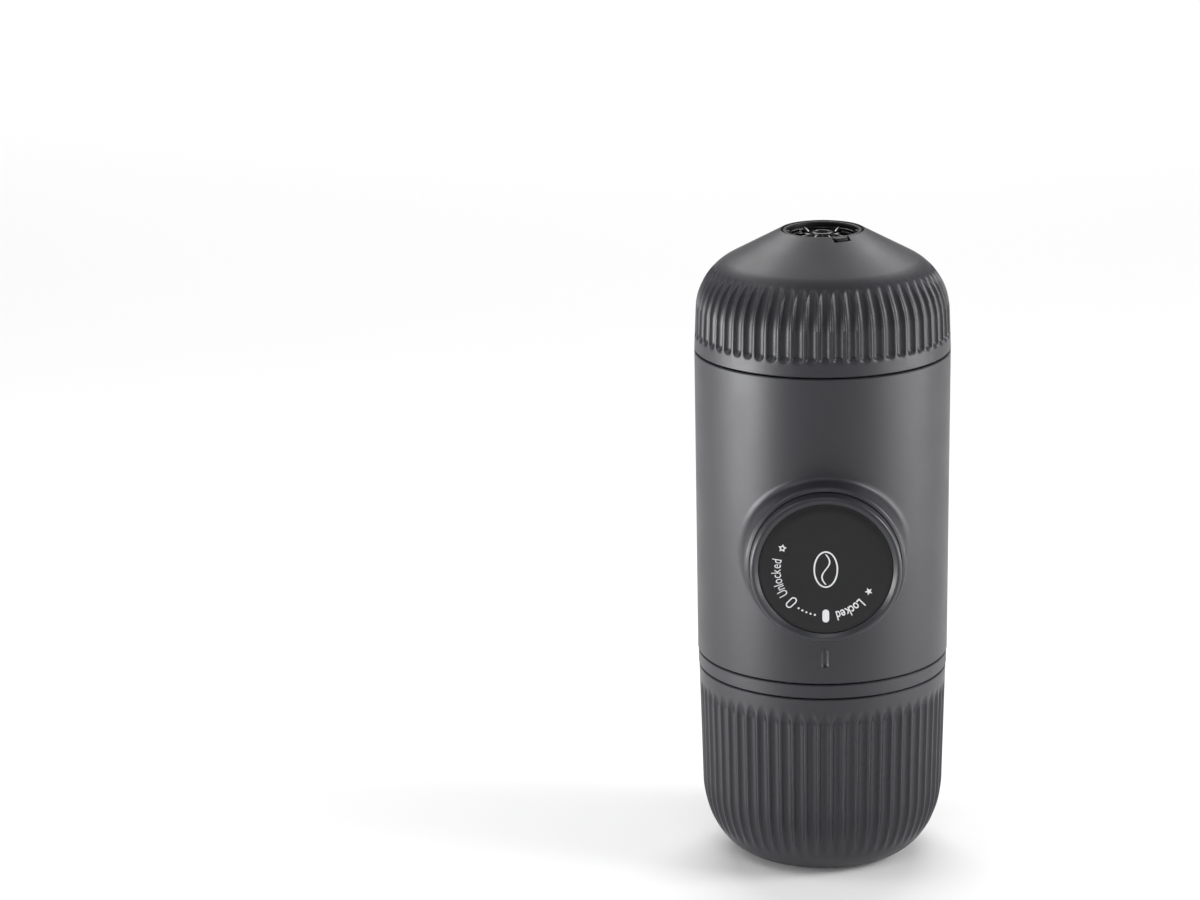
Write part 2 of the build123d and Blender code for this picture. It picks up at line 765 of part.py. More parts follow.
with BuildPart() as outlet_ring:
    with BuildSketch(Plane.XZ):
        with Locations((outlet_ring_reach, outlet_ring_z)):
            Circle(outlet_ring_section)
    revolve(axis=Axis.Z)
finish(outlet_ring, "outlet_ring")

# ---------------------------------------------------------------- filter basket, mesh and scoop
basket_low = gasket_top + seal_gap
basket_top = body_top + funnel_rise - slip
with BuildPart() as filter_basket:
    with BuildSketch(Plane.XZ):
        block(basket_bore, basket_radius, basket_low, basket_top)
        block(basket_bore, basket_rim_radius, basket_low, basket_low + basket_rim)
        block(basket_bore - mesh_lip, basket_radius, basket_top - mesh_cover, basket_top)
        fillet(vertices().group_by(Axis.Y)[-1].sort_by(Axis.X)[-1], basket_wall / 2)
    revolve(axis=Axis.Z)
finish(filter_basket, "filter_basket")

with BuildPart() as filter_mesh:
    with BuildSketch(Plane.XY.offset(basket_top - mesh_cover - mesh_thickness)):
        Circle(basket_bore)
        with Locations(*hex_pattern(mesh_rings, mesh_pitch)):
            Circle(mesh_hole, mode=Mode.SUBTRACT)
    extrude(amount=mesh_thickness)
finish(filter_mesh, "filter_mesh")

scoop_radius = basket_bore - scoop_gap
scoop_low = spigot_top + slip
scoop_top = scoop_low + scoop_height
with BuildPart() as scoop:
    with BuildSketch(Plane.XZ):
        Polygon((0, scoop_top), (scoop_radius, scoop_top), (scoop_radius, scoop_top - scoop_wall),
                (scoop_radius - scoop_taper, scoop_top - 2 * scoop_wall),
                (scoop_radius - scoop_taper, scoop_low),
                (scoop_radius - scoop_taper - scoop_wall, scoop_low),
                (scoop_radius - 2 * scoop_taper - scoop_wall, scoop_top - scoop_wall),
                (0, scoop_top - scoop_wall), align=None)
    revolve(axis=Axis.Z)
finish(scoop, "scoop")
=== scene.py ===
"""Looks of a handheld manual espresso maker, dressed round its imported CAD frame.

The frame's origin is the centre of the cup's base, +Z is up and the pump knob faces -Y.
Sizes are written in millimetres; MM turns them into the frame's metres.
"""
import json
import math

import bmesh
import bpy
import numpy as np
from mathutils import Matrix, Vector


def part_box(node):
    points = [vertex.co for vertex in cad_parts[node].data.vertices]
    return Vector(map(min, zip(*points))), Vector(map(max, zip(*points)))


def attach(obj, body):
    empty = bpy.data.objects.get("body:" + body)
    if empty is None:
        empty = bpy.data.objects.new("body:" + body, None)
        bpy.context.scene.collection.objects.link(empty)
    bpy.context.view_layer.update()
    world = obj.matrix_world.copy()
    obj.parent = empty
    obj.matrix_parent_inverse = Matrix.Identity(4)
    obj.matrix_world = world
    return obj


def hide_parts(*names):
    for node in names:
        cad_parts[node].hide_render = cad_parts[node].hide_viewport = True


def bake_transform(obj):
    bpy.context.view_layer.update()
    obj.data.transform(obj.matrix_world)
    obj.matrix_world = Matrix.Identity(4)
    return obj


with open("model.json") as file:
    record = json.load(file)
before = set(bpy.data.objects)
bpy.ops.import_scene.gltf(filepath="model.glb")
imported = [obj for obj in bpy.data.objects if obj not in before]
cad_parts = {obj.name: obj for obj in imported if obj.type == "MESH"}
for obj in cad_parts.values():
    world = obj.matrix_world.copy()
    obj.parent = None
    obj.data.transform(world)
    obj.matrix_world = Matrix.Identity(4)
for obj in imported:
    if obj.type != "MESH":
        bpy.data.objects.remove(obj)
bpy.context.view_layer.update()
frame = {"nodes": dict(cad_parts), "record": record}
MM = 0.001


# ---------------------------------------------------------------- sizes read from the frame
def low(node, axis):
    """A CAD node's lowest coordinate along an axis, in millimetres."""
    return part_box(node)[0]["XYZ".index(axis)] / MM


def high(node, axis):
    """A CAD node's highest coordinate along an axis, in millimetres."""
    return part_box(node)[1]["XYZ".index(axis)] / MM


CUP_RIM = high("cup", "Z")
BODY_BOTTOM = low("body_shell", "Z")
BODY_TOP = high("body_shell", "Z")
CAP_LOW = low("portafilter_shell", "Z")
CAP_TOP = high("portafilter_shell", "Z")
KNOB_RADIUS = high("knob", "X")
KNOB_FRONT = -low("knob", "Y")
DISC_FRONT = -low("knob_disc", "Y")
PUMP_Z = (low("knob_disc", "Z") + high("knob_disc", "Z")) / 2

# ---------------------------------------------------------------- materials


def linear(code):
    """An sRGB hex colour as linear RGBA."""
    parts = [int(code[i:i + 2], 16) / 255 for i in (1, 3, 5)]
    return [c / 12.92 if c <= 0.04045 else ((c + 0.055) / 1.055) ** 2.4 for c in parts] + [1.0]


def add(tree, kind, inputs=None, **settings):
    """One node: settings are its properties, inputs its sockets' values or what is linked in."""
    made = tree.nodes.new(kind)
    for name, value in settings.items():
        setattr(made, name, value)
    for name, value in (inputs or {}).items():
        if isinstance(value, bpy.types.NodeSocket):
            tree.links.new(value, made.inputs[name])
        else:
            made.inputs[name].default_value = value
    return made


def new_material(name):
    """An empty node material and its node tree."""
    made = bpy.data.materials.new(name)
    made.use_nodes = True
    made.node_tree.nodes.clear()
    return made, made.node_tree


def finish_material(tree, shader):
    """Links a shader to the material's output."""
    add(tree, "ShaderNodeOutputMaterial", {"Surface": shader.outputs["BSDF"]})


MOTTLE_MM = 9.0
NOISE_LOW, NOISE_HIGH = 0.3, 0.7


def moulded(name, colour, shade, grain_mm, bump_mm, rough, rough_swing, ior=1.5):
    """Moulded plastic: a spark-eroded grain, a faint mottle and palms' sheen."""
    made, tree = new_material(name)
    place = add(tree, "ShaderNodeTexCoord").outputs["Object"]
    grain = add(tree, "ShaderNodeTexNoise", {
        "Vector": place, "Scale": 1 / (grain_mm * MM), "Detail": 3.0, "Roughness": 0.55})
    mottle = add(tree, "ShaderNodeTexNoise", {
        "Vector": place, "Scale": 1 / (MOTTLE_MM * MM), "Detail": 4.0, "Roughness": 0.5})
    tint = add(tree, "ShaderNodeMix", {
        "Factor": mottle.outputs["Fac"], "A": linear(colour), "B": linear(shade)},
        data_type="RGBA")
    spread = add(tree, "ShaderNodeMapRange", {
        "Value": mottle.outputs["Fac"], "From Min": NOISE_LOW, "From Max": NOISE_HIGH,
        "To Min": rough - rough_swing, "To Max": rough + rough_swing})
    bump = add(tree, "ShaderNodeBump", {
        "Height": grain.outputs["Fac"], "Distance": bump_mm * MM, "Strength": 1.0})
    shader = add(tree, "ShaderNodeBsdfPrincipled", {
        "Base Color": tint.outputs["Result"], "Roughness": spread.outputs["Result"],
        "Normal": bump.outputs["Normal"], "IOR": ior})
    finish_material(tree, shader)
    return made


# Body, cap and cup: ABS from a spark-eroded mould, an even dull slate with wide soft highlights.
# Its real grain is about 0.1 mm and is drawn three times coarser, or it wouldn't show.
slate_abs = moulded("slate_abs_spark_eroded", "#27272C", "#242429", 0.35, 0.010, 0.42, 0.03)
# Knob: the same ABS from a finer mould, so the highlights on its edges are tighter.
knob_abs = moulded("slate_abs_fine_edm", "#28282D", "#25252A", 0.30, 0.005, 0.35, 0.03)
# Inner mouldings: black ABS with a satin sheen.
black_abs = moulded("black_abs_satin", "#151517", "#121214", 0.30, 0.006, 0.38, 0.03)
# The knob's insert: matt polycarbonate, a flat near-black with hardly any gloss.
disc_black = moulded("black_pc_matt", "#101012", "#0E0E10", 0.30, 0.006, 0.45, 0.03, 1.42)
# Lip and tab of the outlet: soft thermoplastic rubber, the dullest black.
rubber_black = moulded("black_tpe_soft", "#0C0C0D", "#0A0A0B", 0.30, 0.006, 0.50, 0.03, 1.35)
# Pad print on the insert: a flat off-white ink.
white_ink = moulded("white_pad_print_ink", "#DADADC", "#D2D2D5", 0.25, 0.003, 0.55, 0.03)
# Bowl and spokes of the outlet: polished polypropylene, black with small bright glints.
gloss_black = moulded("black_pp_polished", "#0B0B0C", "#09090A", 1.2, 0.002, 0.12, 0.02)
# Seals and valve flaps: silicone, dull and a little greyer than the mouldings.
silicone = moulded("silicone_dark", "#2A2A2D", "#242427", 0.25, 0.005, 0.62, 0.04)

ROLLING_STRETCH = 8.0
STEEL_SWING = 0.07


def steel(name, colour, rough, scratch_mm, bump_mm):
    """Stainless steel with a fine rolled grain."""
    made, tree = new_material(name)
    place = add(tree, "ShaderNodeTexCoord").outputs["Object"]
    stretch = add(tree, "ShaderNodeMapping", {
        "Vector": place, "Scale": (1.0, ROLLING_STRETCH, 1.0)})
    grain = add(tree, "ShaderNodeTexNoise", {
        "Vector": stretch.outputs["Vector"], "Scale": 1 / (scratch_mm * MM), "Detail": 4.0})
    spread = add(tree, "ShaderNodeMapRange", {
        "Value": grain.outputs["Fac"],
        "To Min": rough - STEEL_SWING, "To Max": rough + STEEL_SWING})
    bump = add(tree, "ShaderNodeBump", {
        "Height": grain.outputs["Fac"], "Distance": bump_mm * MM})
    shader = add(tree, "ShaderNodeBsdfPrincipled", {
        "Base Color": linear(colour), "Metallic": 1.0, "Roughness": spread.outputs["Result"],
        "Normal": bump.outputs["Normal"]})
    finish_material(tree, shader)
    return made


# Basket and screens: rolled stainless sheet, a grey with streaky highlights.
sheet_steel = steel("stainless_sheet_rolled", "#C4C4C6", 0.30, 0.6, 0.004)
# Return spring: drawn stainless wire, darker and a little brighter in its highlights.
spring_steel = steel("stainless_spring_drawn", "#A9A9AC", 0.26, 0.4, 0.003)
# Screws: zinc-plated steel, paler and duller.
zinc_steel = steel("zinc_plated_screw", "#B8B9BC", 0.34, 0.5, 0.004)

SLOT_MATERIALS = {
    "shell_plastic": slate_abs,
    "black_plastic": black_abs,
    "disc_plastic": black_abs,
    "spout_plastic": gloss_black,
    "silicone": silicone,
    "steel": sheet_steel,
}


def paint(piece, material):
    """One material over the whole piece."""
    piece.data.materials.clear()
    piece.data.materials.append(material)


for entry in frame["record"]["subparts"]:
    paint(frame["nodes"][entry["node"]], SLOT_MATERIALS[entry["material_slot"]])
paint(frame["nodes"]["return_spring"], spring_steel)
for node in ("knob_screw", "group_screws"):
    paint(frame["nodes"][node], zinc_steel)

# ---------------------------------------------------------------- flutes and edges
FLUTES = 60
CUTTER_RADIUS = 1.36
FLUTE_DEPTH = 1.0
CREST_ROUND = 0.12
CREST_FALL = 2
EDGE_BREAK = 0.25
CORNER_STEPS = 8

# ---------------------------------------------------------------- mesh helpers


def section(*corners, steps=CORNER_STEPS):
    """Points (radius, height) of a section. A corner with a third number is rounded by it."""
    points = []
    for i, corner in enumerate(corners):
        here = np.array(corner[:2], float)
        if len(corner) == 2:
            points.append(here)
            continue
        back = np.array(corners[i - 1][:2], float) - here
        on = np.array(corners[(i + 1) % len(corners)][:2], float) - here
        back, on = back / np.linalg.norm(back), on / np.linalg.norm(on)
        half = math.acos(np.clip(back @ on, -1, 1)) / 2
        centre = here + (back + on) / np.linalg.norm(back + on) * corner[2] / math.sin(half)
        first = here + back * corner[2] / math.tan(half) - centre
        last = here + on * corner[2] / math.tan(half) - centre
        for step in range(steps + 1):
            mix = step / steps
            sweep = math.pi - 2 * half
            aim = (first * math.sin((1 - mix) * sweep) + last * math.sin(mix * sweep))
            points.append(centre + aim / math.sin(sweep))
    return np.array(points)


def resample(points, spacing):
    """The same line with points no further apart than the spacing, one or one for each leg."""
    out = [points[0]]
    for start, end, gap in zip(points[:-1], points[1:],
                               np.broadcast_to(spacing, len(points) - 1)):
        parts = max(1, math.ceil(np.linalg.norm(end - start) / gap))
        out += [start + (end - start) * k / parts for k in range(1, parts + 1)]
    return np.array(out)


def on_leg(start, end, axis, value):
    """The point of a straight leg where its radius (axis 0) or height (axis 1) has a value."""
    return start + (end - start) * (value - start[axis]) / (end[axis] - start[axis])


def finish_piece(name, mesh, material, body, crease_degrees):
    """Cleans a mesh, shades it smooth between its creases and seats it on its body."""
    shape = bmesh.new()
    shape.from_mesh(mesh)
    bmesh.ops.remove_doubles(shape, verts=shape.verts, dist=1e-7)
    bmesh.ops.dissolve_degenerate(shape, edges=shape.edges, dist=1e-8)
    bmesh.ops.recalc_face_normals(shape, faces=shape.faces)
    shape.to_mesh(mesh)
    shape.free()
    mesh.shade_smooth()
    mesh.set_sharp_from_angle(angle=math.radians(crease_degrees))
    piece = bpy.data.objects.new(name, mesh)
    bpy.context.scene.collection.objects.link(piece)
    paint(piece, material)
    if body:
        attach(piece, body)
    return piece


def ring_faces(count, around, first=0, loop=False):
    """Quads between rings of points that follow each other in a list."""
    faces = []
    for ring in range(count if loop else count - 1):
        here, there = ring * around, (ring + 1) % count * around
        faces += [(first + here + k, first + here + (k + 1) % around,
                   first + there + (k + 1) % around, first + there + k)
                  for k in range(around)]
    return faces


def rings_piece(name, rings, material, body, loop=True, crease_degrees=38):
    """A closed piece through rings of points, given in millimetres."""
    rings = np.asarray(rings)
    mesh = bpy.data.meshes.new(name)
    mesh.from_pydata((rings.reshape(-1, 3) * MM).tolist(), [],
                     ring_faces(rings.shape[0], rings.shape[1], loop=loop))
    return finish_piece(name, mesh, material, body, crease_degrees)


def turns(count):
    """Angles of a full turn in equal steps."""
    return np.arange(count) * math.tau / count


# columns of a flute as shares of the pitch, closest together at the crest's edges
HALF_STEPS = np.interp(np.linspace(0, 1, 8), (0.0, 0.25, 0.85, 1.0), (0.0, 0.48, 0.92, 1.0)) / 2
FLUTE_SHARES = np.concatenate([-HALF_STEPS[:0:-1], HALF_STEPS[:-1]])
FLUTE_ANGLES = np.add.outer(np.arange(FLUTES), FLUTE_SHARES).ravel() * math.tau / FLUTES


def around_z(points, angles):
    """Rings round the Z axis for a section of (radius, height)."""
    points = np.asarray(points)
    out = np.zeros((len(points), len(angles), 3))
    out[:, :, 0] = points[:, :1] * np.cos(angles)
    out[:, :, 1] = points[:, :1] * np.sin(angles)
    out[:, :, 2] = points[:, 1:2]
    return out


def fluted(wall, path):
    """Rings of a lathed wall with flutes milled along the path of a ball cutter."""
    along = np.gradient(wall, axis=0)
    along /= np.linalg.norm(along, axis=1, keepdims=True)
    outward = np.stack([along[:, 1], -along[:, 0]], axis=1)
    outward *= np.sign(outward[:, :1] + 1e-9)
    away = np.linalg.norm(wall[:, None, :] - path[None, :, :], axis=2).min(axis=1)
    aside = np.abs(np.tile(FLUTE_SHARES, FLUTES)[None, :] * math.tau * wall[:, :1] / FLUTES)
    cut = np.sqrt(np.maximum(CUTTER_RADIUS ** 2 - aside ** 2, 0)) - away[:, None]
    cut -= CREST_FALL * np.maximum(aside - CUTTER_RADIUS, 0)
    cut = (cut + np.sqrt(cut ** 2 + CREST_ROUND ** 2)) / 2
    cut = np.where(away[:, None] < 2 * CUTTER_RADIUS, cut, 0.0)
    radius = wall[:, :1] - outward[:, :1] * cut
    height = wall[:, 1:] - outward[:, 1:] * cut
    return np.stack([radius * np.cos(FLUTE_ANGLES), radius * np.sin(FLUTE_ANGLES),
                     height + 0 * FLUTE_ANGLES], axis=2)


def around_pump(points, angles):
    """Rings round the pump's axis for a section of (radius, reach out of the knob)."""
    points = np.asarray(points)
    out = np.zeros((len(points), len(angles), 3))
    out[:, :, 0] = points[:, :1] * np.cos(angles)
    out[:, :, 1] = -points[:, 1:2]
    out[:, :, 2] = PUMP_Z + points[:, :1] * np.sin(angles)
    return out


def carve(piece, cutters):
    """Takes closed cutter meshes (vertices, faces) out of a piece."""
    tool_mesh = bpy.data.meshes.new("cutter")
    points, faces = [], []
    for vertices, polygons in cutters:
        faces += [tuple(len(points) + k for k in polygon) for polygon in polygons]
        points += [tuple(np.array(v) * MM) for v in vertices]
    tool_mesh.from_pydata(points, [], faces)
    tool = bpy.data.objects.new("cutter", tool_mesh)
    bpy.context.scene.collection.objects.link(tool)
    cut = piece.modifiers.new("cut", "BOOLEAN")
    cut.operation = "DIFFERENCE"
    cut.solver = "EXACT"
    cut.object = tool
    bpy.context.view_layer.update()
    carved = bpy.data.meshes.new_from_object(piece.evaluated_get(
        bpy.context.evaluated_depsgraph_get()))
    piece.modifiers.remove(cut)
    bpy.data.objects.remove(tool)
    piece.data = carved


def cylinder(centre, radius, low_z, high_z, sides=24):
    """Vertices and faces of an upright cylinder, to cut with."""
    turn = turns(sides)
    ring = np.stack([centre[0] + radius * np.cos(turn), centre[1] + radius * np.sin(turn)], axis=1)
    vertices = [(*p, low_z) for p in ring] + [(*p, high_z) for p in ring]
    faces = [(k, (k + 1) % sides, sides + (k + 1) % sides, sides + k) for k in range(sides)]
    return vertices, faces + [tuple(reversed(range(sides))), tuple(range(sides, 2 * sides))]


def polar(radius, degrees):
    """The plan position at a radius and an angle."""
    return np.array((math.cos(math.radians(degrees)), math.sin(math.radians(degrees)))) * radius


def loft(name, outlines, material, body, crease_degrees=38):
    """A closed piece through a row of outlines with the same number of points."""
    outlines = np.asarray(outlines)
    count, around = outlines.shape[:2]
    faces = ring_faces(count, around)
    faces += [tuple(reversed(range(around))), tuple(range((count - 1) * around, count * around))]
    mesh = bpy.data.meshes.new(name)
    mesh.from_pydata((outlines.reshape(-1, 3) * MM).tolist(), [], faces)
    return finish_piece(name, mesh, material, body, crease_degrees)


# ---------------------------------------------------------------- fluted cup
BODY_RADIUS = high("portafilter_shell", "X")
CUP_TOP_RADIUS = high("cup", "X")
CUP_DRAFT = 0.7
CUP_WALL = 2.6
CUP_FLOOR = 2.2
CUP_CORNER_WIDTH = 13.0
CUP_CORNER_HEIGHT = 18.9
CUP_FLUTE_MARGIN = 6.8
CUP_FLUTE_LEAD = 3.0
CUP_FLUTE_RUN = 40.0
CUP_FLUTE_SWEEP = 19.0


def quarter(centre, width, height, steps=26):
    """A quarter of an ellipse from straight below its centre to its right."""
    turn = np.linspace(0, math.pi / 2, steps)
    return np.stack([centre[0] + width * np.sin(turn), centre[1] - height * np.cos(turn)], axis=1)


def arc_on(start, heading, radius, sweep, steps=40):
    """An arc that starts along a unit heading and turns by sweep degrees, + to the left."""
    side = math.copysign(1.0, sweep)
    normal = np.array([-heading[1], heading[0]]) * side
    turn = np.radians(np.linspace(0, abs(sweep), steps))
    return (np.array(start) + radius * (np.sin(turn)[:, None] * np.array(heading)
                                        + (1 - np.cos(turn))[:, None] * normal))


def make_cup():
    """The drinking cup: fluted outside, smooth inside, open at the top."""
    low_radius = CUP_TOP_RADIUS - CUP_DRAFT
    flat = low_radius - CUP_CORNER_WIDTH
    lean = CUP_DRAFT / (CUP_RIM - CUP_CORNER_HEIGHT)
    corner = quarter((flat, CUP_CORNER_HEIGHT), CUP_CORNER_WIDTH, CUP_CORNER_HEIGHT, 44)
    top = CUP_RIM - CUP_FLUTE_MARGIN
    wall = np.vstack([[(0.0, 0.0)], corner,
                      [(low_radius + lean * (top - 1 - CUP_CORNER_HEIGHT), top - 1)],
                      [(CUP_TOP_RADIUS, CUP_RIM - EDGE_BREAK)],
                      [(CUP_TOP_RADIUS - EDGE_BREAK, CUP_RIM)]])
    # long legs where nothing is milled, short ones where the flutes begin
    wall = resample(wall, [6.0] + [0.7] * (len(corner) - 1) + [2.0, 0.4, 0.4])
    offset = CUTTER_RADIUS - FLUTE_DEPTH
    start = np.array((low_radius + offset + lean * (top - CUP_CORNER_HEIGHT), top))
    lead = start + (FLUTE_DEPTH, CUP_FLUTE_LEAD)
    knee = np.array((low_radius + offset, CUP_CORNER_HEIGHT))
    heading = (knee - start) / np.linalg.norm(knee - start)
    path = np.vstack([resample(np.array([lead, start, knee]), 0.1),
                      arc_on(knee, heading, CUP_FLUTE_RUN, -CUP_FLUTE_SWEEP, 200)])
    inner_low = low_radius - CUP_WALL
    inner = quarter((flat, CUP_CORNER_HEIGHT), inner_low - flat, CUP_CORNER_HEIGHT - CUP_FLOOR)
    inner = np.vstack([[(0.0, CUP_FLOOR)], inner,
                       section((inner_low, CUP_CORNER_HEIGHT),
                               (CUP_TOP_RADIUS - CUP_WALL, CUP_RIM, 0.5),
                               (CUP_TOP_RADIUS - EDGE_BREAK, CUP_RIM))[1:-1]])
    rings = np.vstack([fluted(wall, path),
                       around_z(inner[::-1], FLUTE_ANGLES)])
    piece = rings_piece("fluted_cup", rings, slate_abs, "drinking_cup",
                        loop=False)
    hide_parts("cup")


# ---------------------------------------------------------------- fluted portafilter cap
CAP_DRAFT = 0.7
CAP_CONE_ANGLE = 28.5
CAP_SHOULDER = 14.6
CAP_FLUTE_MARGIN = 4.9
CAP_FLUTE_RUN = 15.3
CAP_FLUTE_SWEEP = 25.0
CAP_FLUTE_EXIT = 6.0
NOZZLE_BORE = 9.9
NOZZLE_RIM = 10.15
NOZZLE_FLOOR = CAP_TOP - 2.85
OUTLET_BORE = 3.4
BASKET_RADIUS = 19.9
CAP_THREAD_BORE = BODY_RADIUS - 4.6
BASKET_SEAT = BODY_TOP + 8.8
FUNNEL_LOW = BODY_TOP + 21.6
FUNNEL_TOP = FUNNEL_LOW + 2.6
SLIP = 0.3
TAB_ANGLE = -66.0
TAB_WIDTH = 3.6
TAB_REACH = 11.1
TAB_DEPTH = 1.3
TAB_SQUARENESS = 6
FINE_TURN = 96


def make_cap():
    """The portafilter's cap: a fluted wall, a round shoulder and a cone with the nozzle."""
    corner_radius = BODY_RADIUS - CAP_DRAFT
    corner_z = CAP_TOP - (corner_radius - NOZZLE_RIM) * math.tan(math.radians(CAP_CONE_ANGLE))
    lean = math.atan2(CAP_DRAFT, corner_z - BODY_TOP)
    turn = math.radians(90 - CAP_CONE_ANGLE) - lean
    leg = CAP_SHOULDER * math.tan(turn / 2)
    shoulder = np.array((corner_radius + leg * math.sin(lean), corner_z - leg * math.cos(lean)))
    wall = section((BODY_RADIUS - EDGE_BREAK, CAP_LOW), (BODY_RADIUS, CAP_LOW + EDGE_BREAK),
                   (corner_radius, corner_z, CAP_SHOULDER), (NOZZLE_BORE + 0.1, CAP_TOP - 0.02),
                   (NOZZLE_BORE, CAP_TOP), steps=40)
    ends = [on_leg(wall[1], wall[2], 1, BODY_TOP + CAP_FLUTE_MARGIN + step) for step in (-2, 2)]
    brim = on_leg(wall[-3], wall[-2], 0, TAB_REACH + 0.5)
    wall = np.vstack([wall[:2], ends, wall[2:-2], [brim], wall[-2:-1]])
    wall = resample(wall, [1.0, 3.0, 0.35, 1.2] + [0.5] * (len(wall) - 7) + [4.0, 0.4])
    offset = CUTTER_RADIUS - FLUTE_DEPTH
    outward = np.array((math.cos(lean), math.sin(lean)))
    low_z = BODY_TOP + CAP_FLUTE_MARGIN
    start = np.array((corner_radius + (corner_z - low_z) * math.tan(lean), low_z))
    heading = np.array((-math.sin(lean), math.cos(lean)))
    bend = arc_on(shoulder + offset * outward, heading, CAP_FLUTE_RUN, CAP_FLUTE_SWEEP, 120)
    leave = bend[-1] + (bend[-1] - bend[-2]) / np.linalg.norm(bend[-1] - bend[-2]) * CAP_FLUTE_EXIT
    path = np.vstack([resample(np.array([start, shoulder]) + offset * outward, 0.1), bend,
                      resample(np.array([bend[-1], leave]), 0.1)])
    inner = section((NOZZLE_BORE, CAP_TOP, 0.12), (NOZZLE_BORE, NOZZLE_FLOOR),
                    (OUTLET_BORE, NOZZLE_FLOOR), (OUTLET_BORE, FUNNEL_TOP),
                    (BASKET_RADIUS, FUNNEL_LOW), (BASKET_RADIUS + SLIP, FUNNEL_LOW),
                    (BASKET_RADIUS + SLIP, BASKET_SEAT, 0.4),
                    (CAP_THREAD_BORE, BASKET_SEAT, 0.6), (CAP_THREAD_BORE, CAP_LOW, 0.3),
                    (BODY_RADIUS - EDGE_BREAK, CAP_LOW), steps=4)[1:-1]
    rings = np.vstack([fluted(wall, path), around_z(inner, FLUTE_ANGLES)])
    # the notch in the rim that takes the outlet head's tab
    tab = np.array((math.cos(math.radians(TAB_ANGLE)), math.sin(math.radians(TAB_ANGLE))))
    reach = rings[:, :, 0] * tab[0] + rings[:, :, 1] * tab[1]
    aside = np.abs(rings[:, :, 1] * tab[0] - rings[:, :, 0] * tab[1])
    notch = (reach > 0) & (reach < TAB_REACH + SLIP) & (aside < TAB_WIDTH / 2 + SLIP)
    notch &= rings[:, :, 2] > CAP_TOP - TAB_DEPTH
    rings[:, :, 2] = np.where(notch, CAP_TOP - TAB_DEPTH, rings[:, :, 2])
    piece = rings_piece("fluted_cap", rings, slate_abs, "portafilter")
    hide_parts("portafilter_shell")


# ---------------------------------------------------------------- outlet head in the nozzle
FIT = 0.1
HEAD_RADIUS = NOZZLE_BORE - SLIP
HEAD_TOP = CAP_TOP - FIT
HEAD_FLOOR = 0.8
HEAD_LIP = 1.05
HEAD_STEP = 1.7
HEAD_LEDGE = 1.15
HUB_RADIUS = 2.5
HUB_FOOT = 3.4
HUB_DROP = 0.55
SPOKES = 6
SPOKE_WIDTH = 0.95
SPOKE_SAG = 0.75
WINDOW_RADIUS = 1.35
WINDOW_CIRCLE = 5.6
OUTLET_HOLE = 1.2
STEM_RADIUS = OUTLET_BORE - 1.0
STEM_BOTTOM = NOZZLE_FLOOR - 2.6
RING_SECTION = 0.45
PEG_RADIUS = 0.62


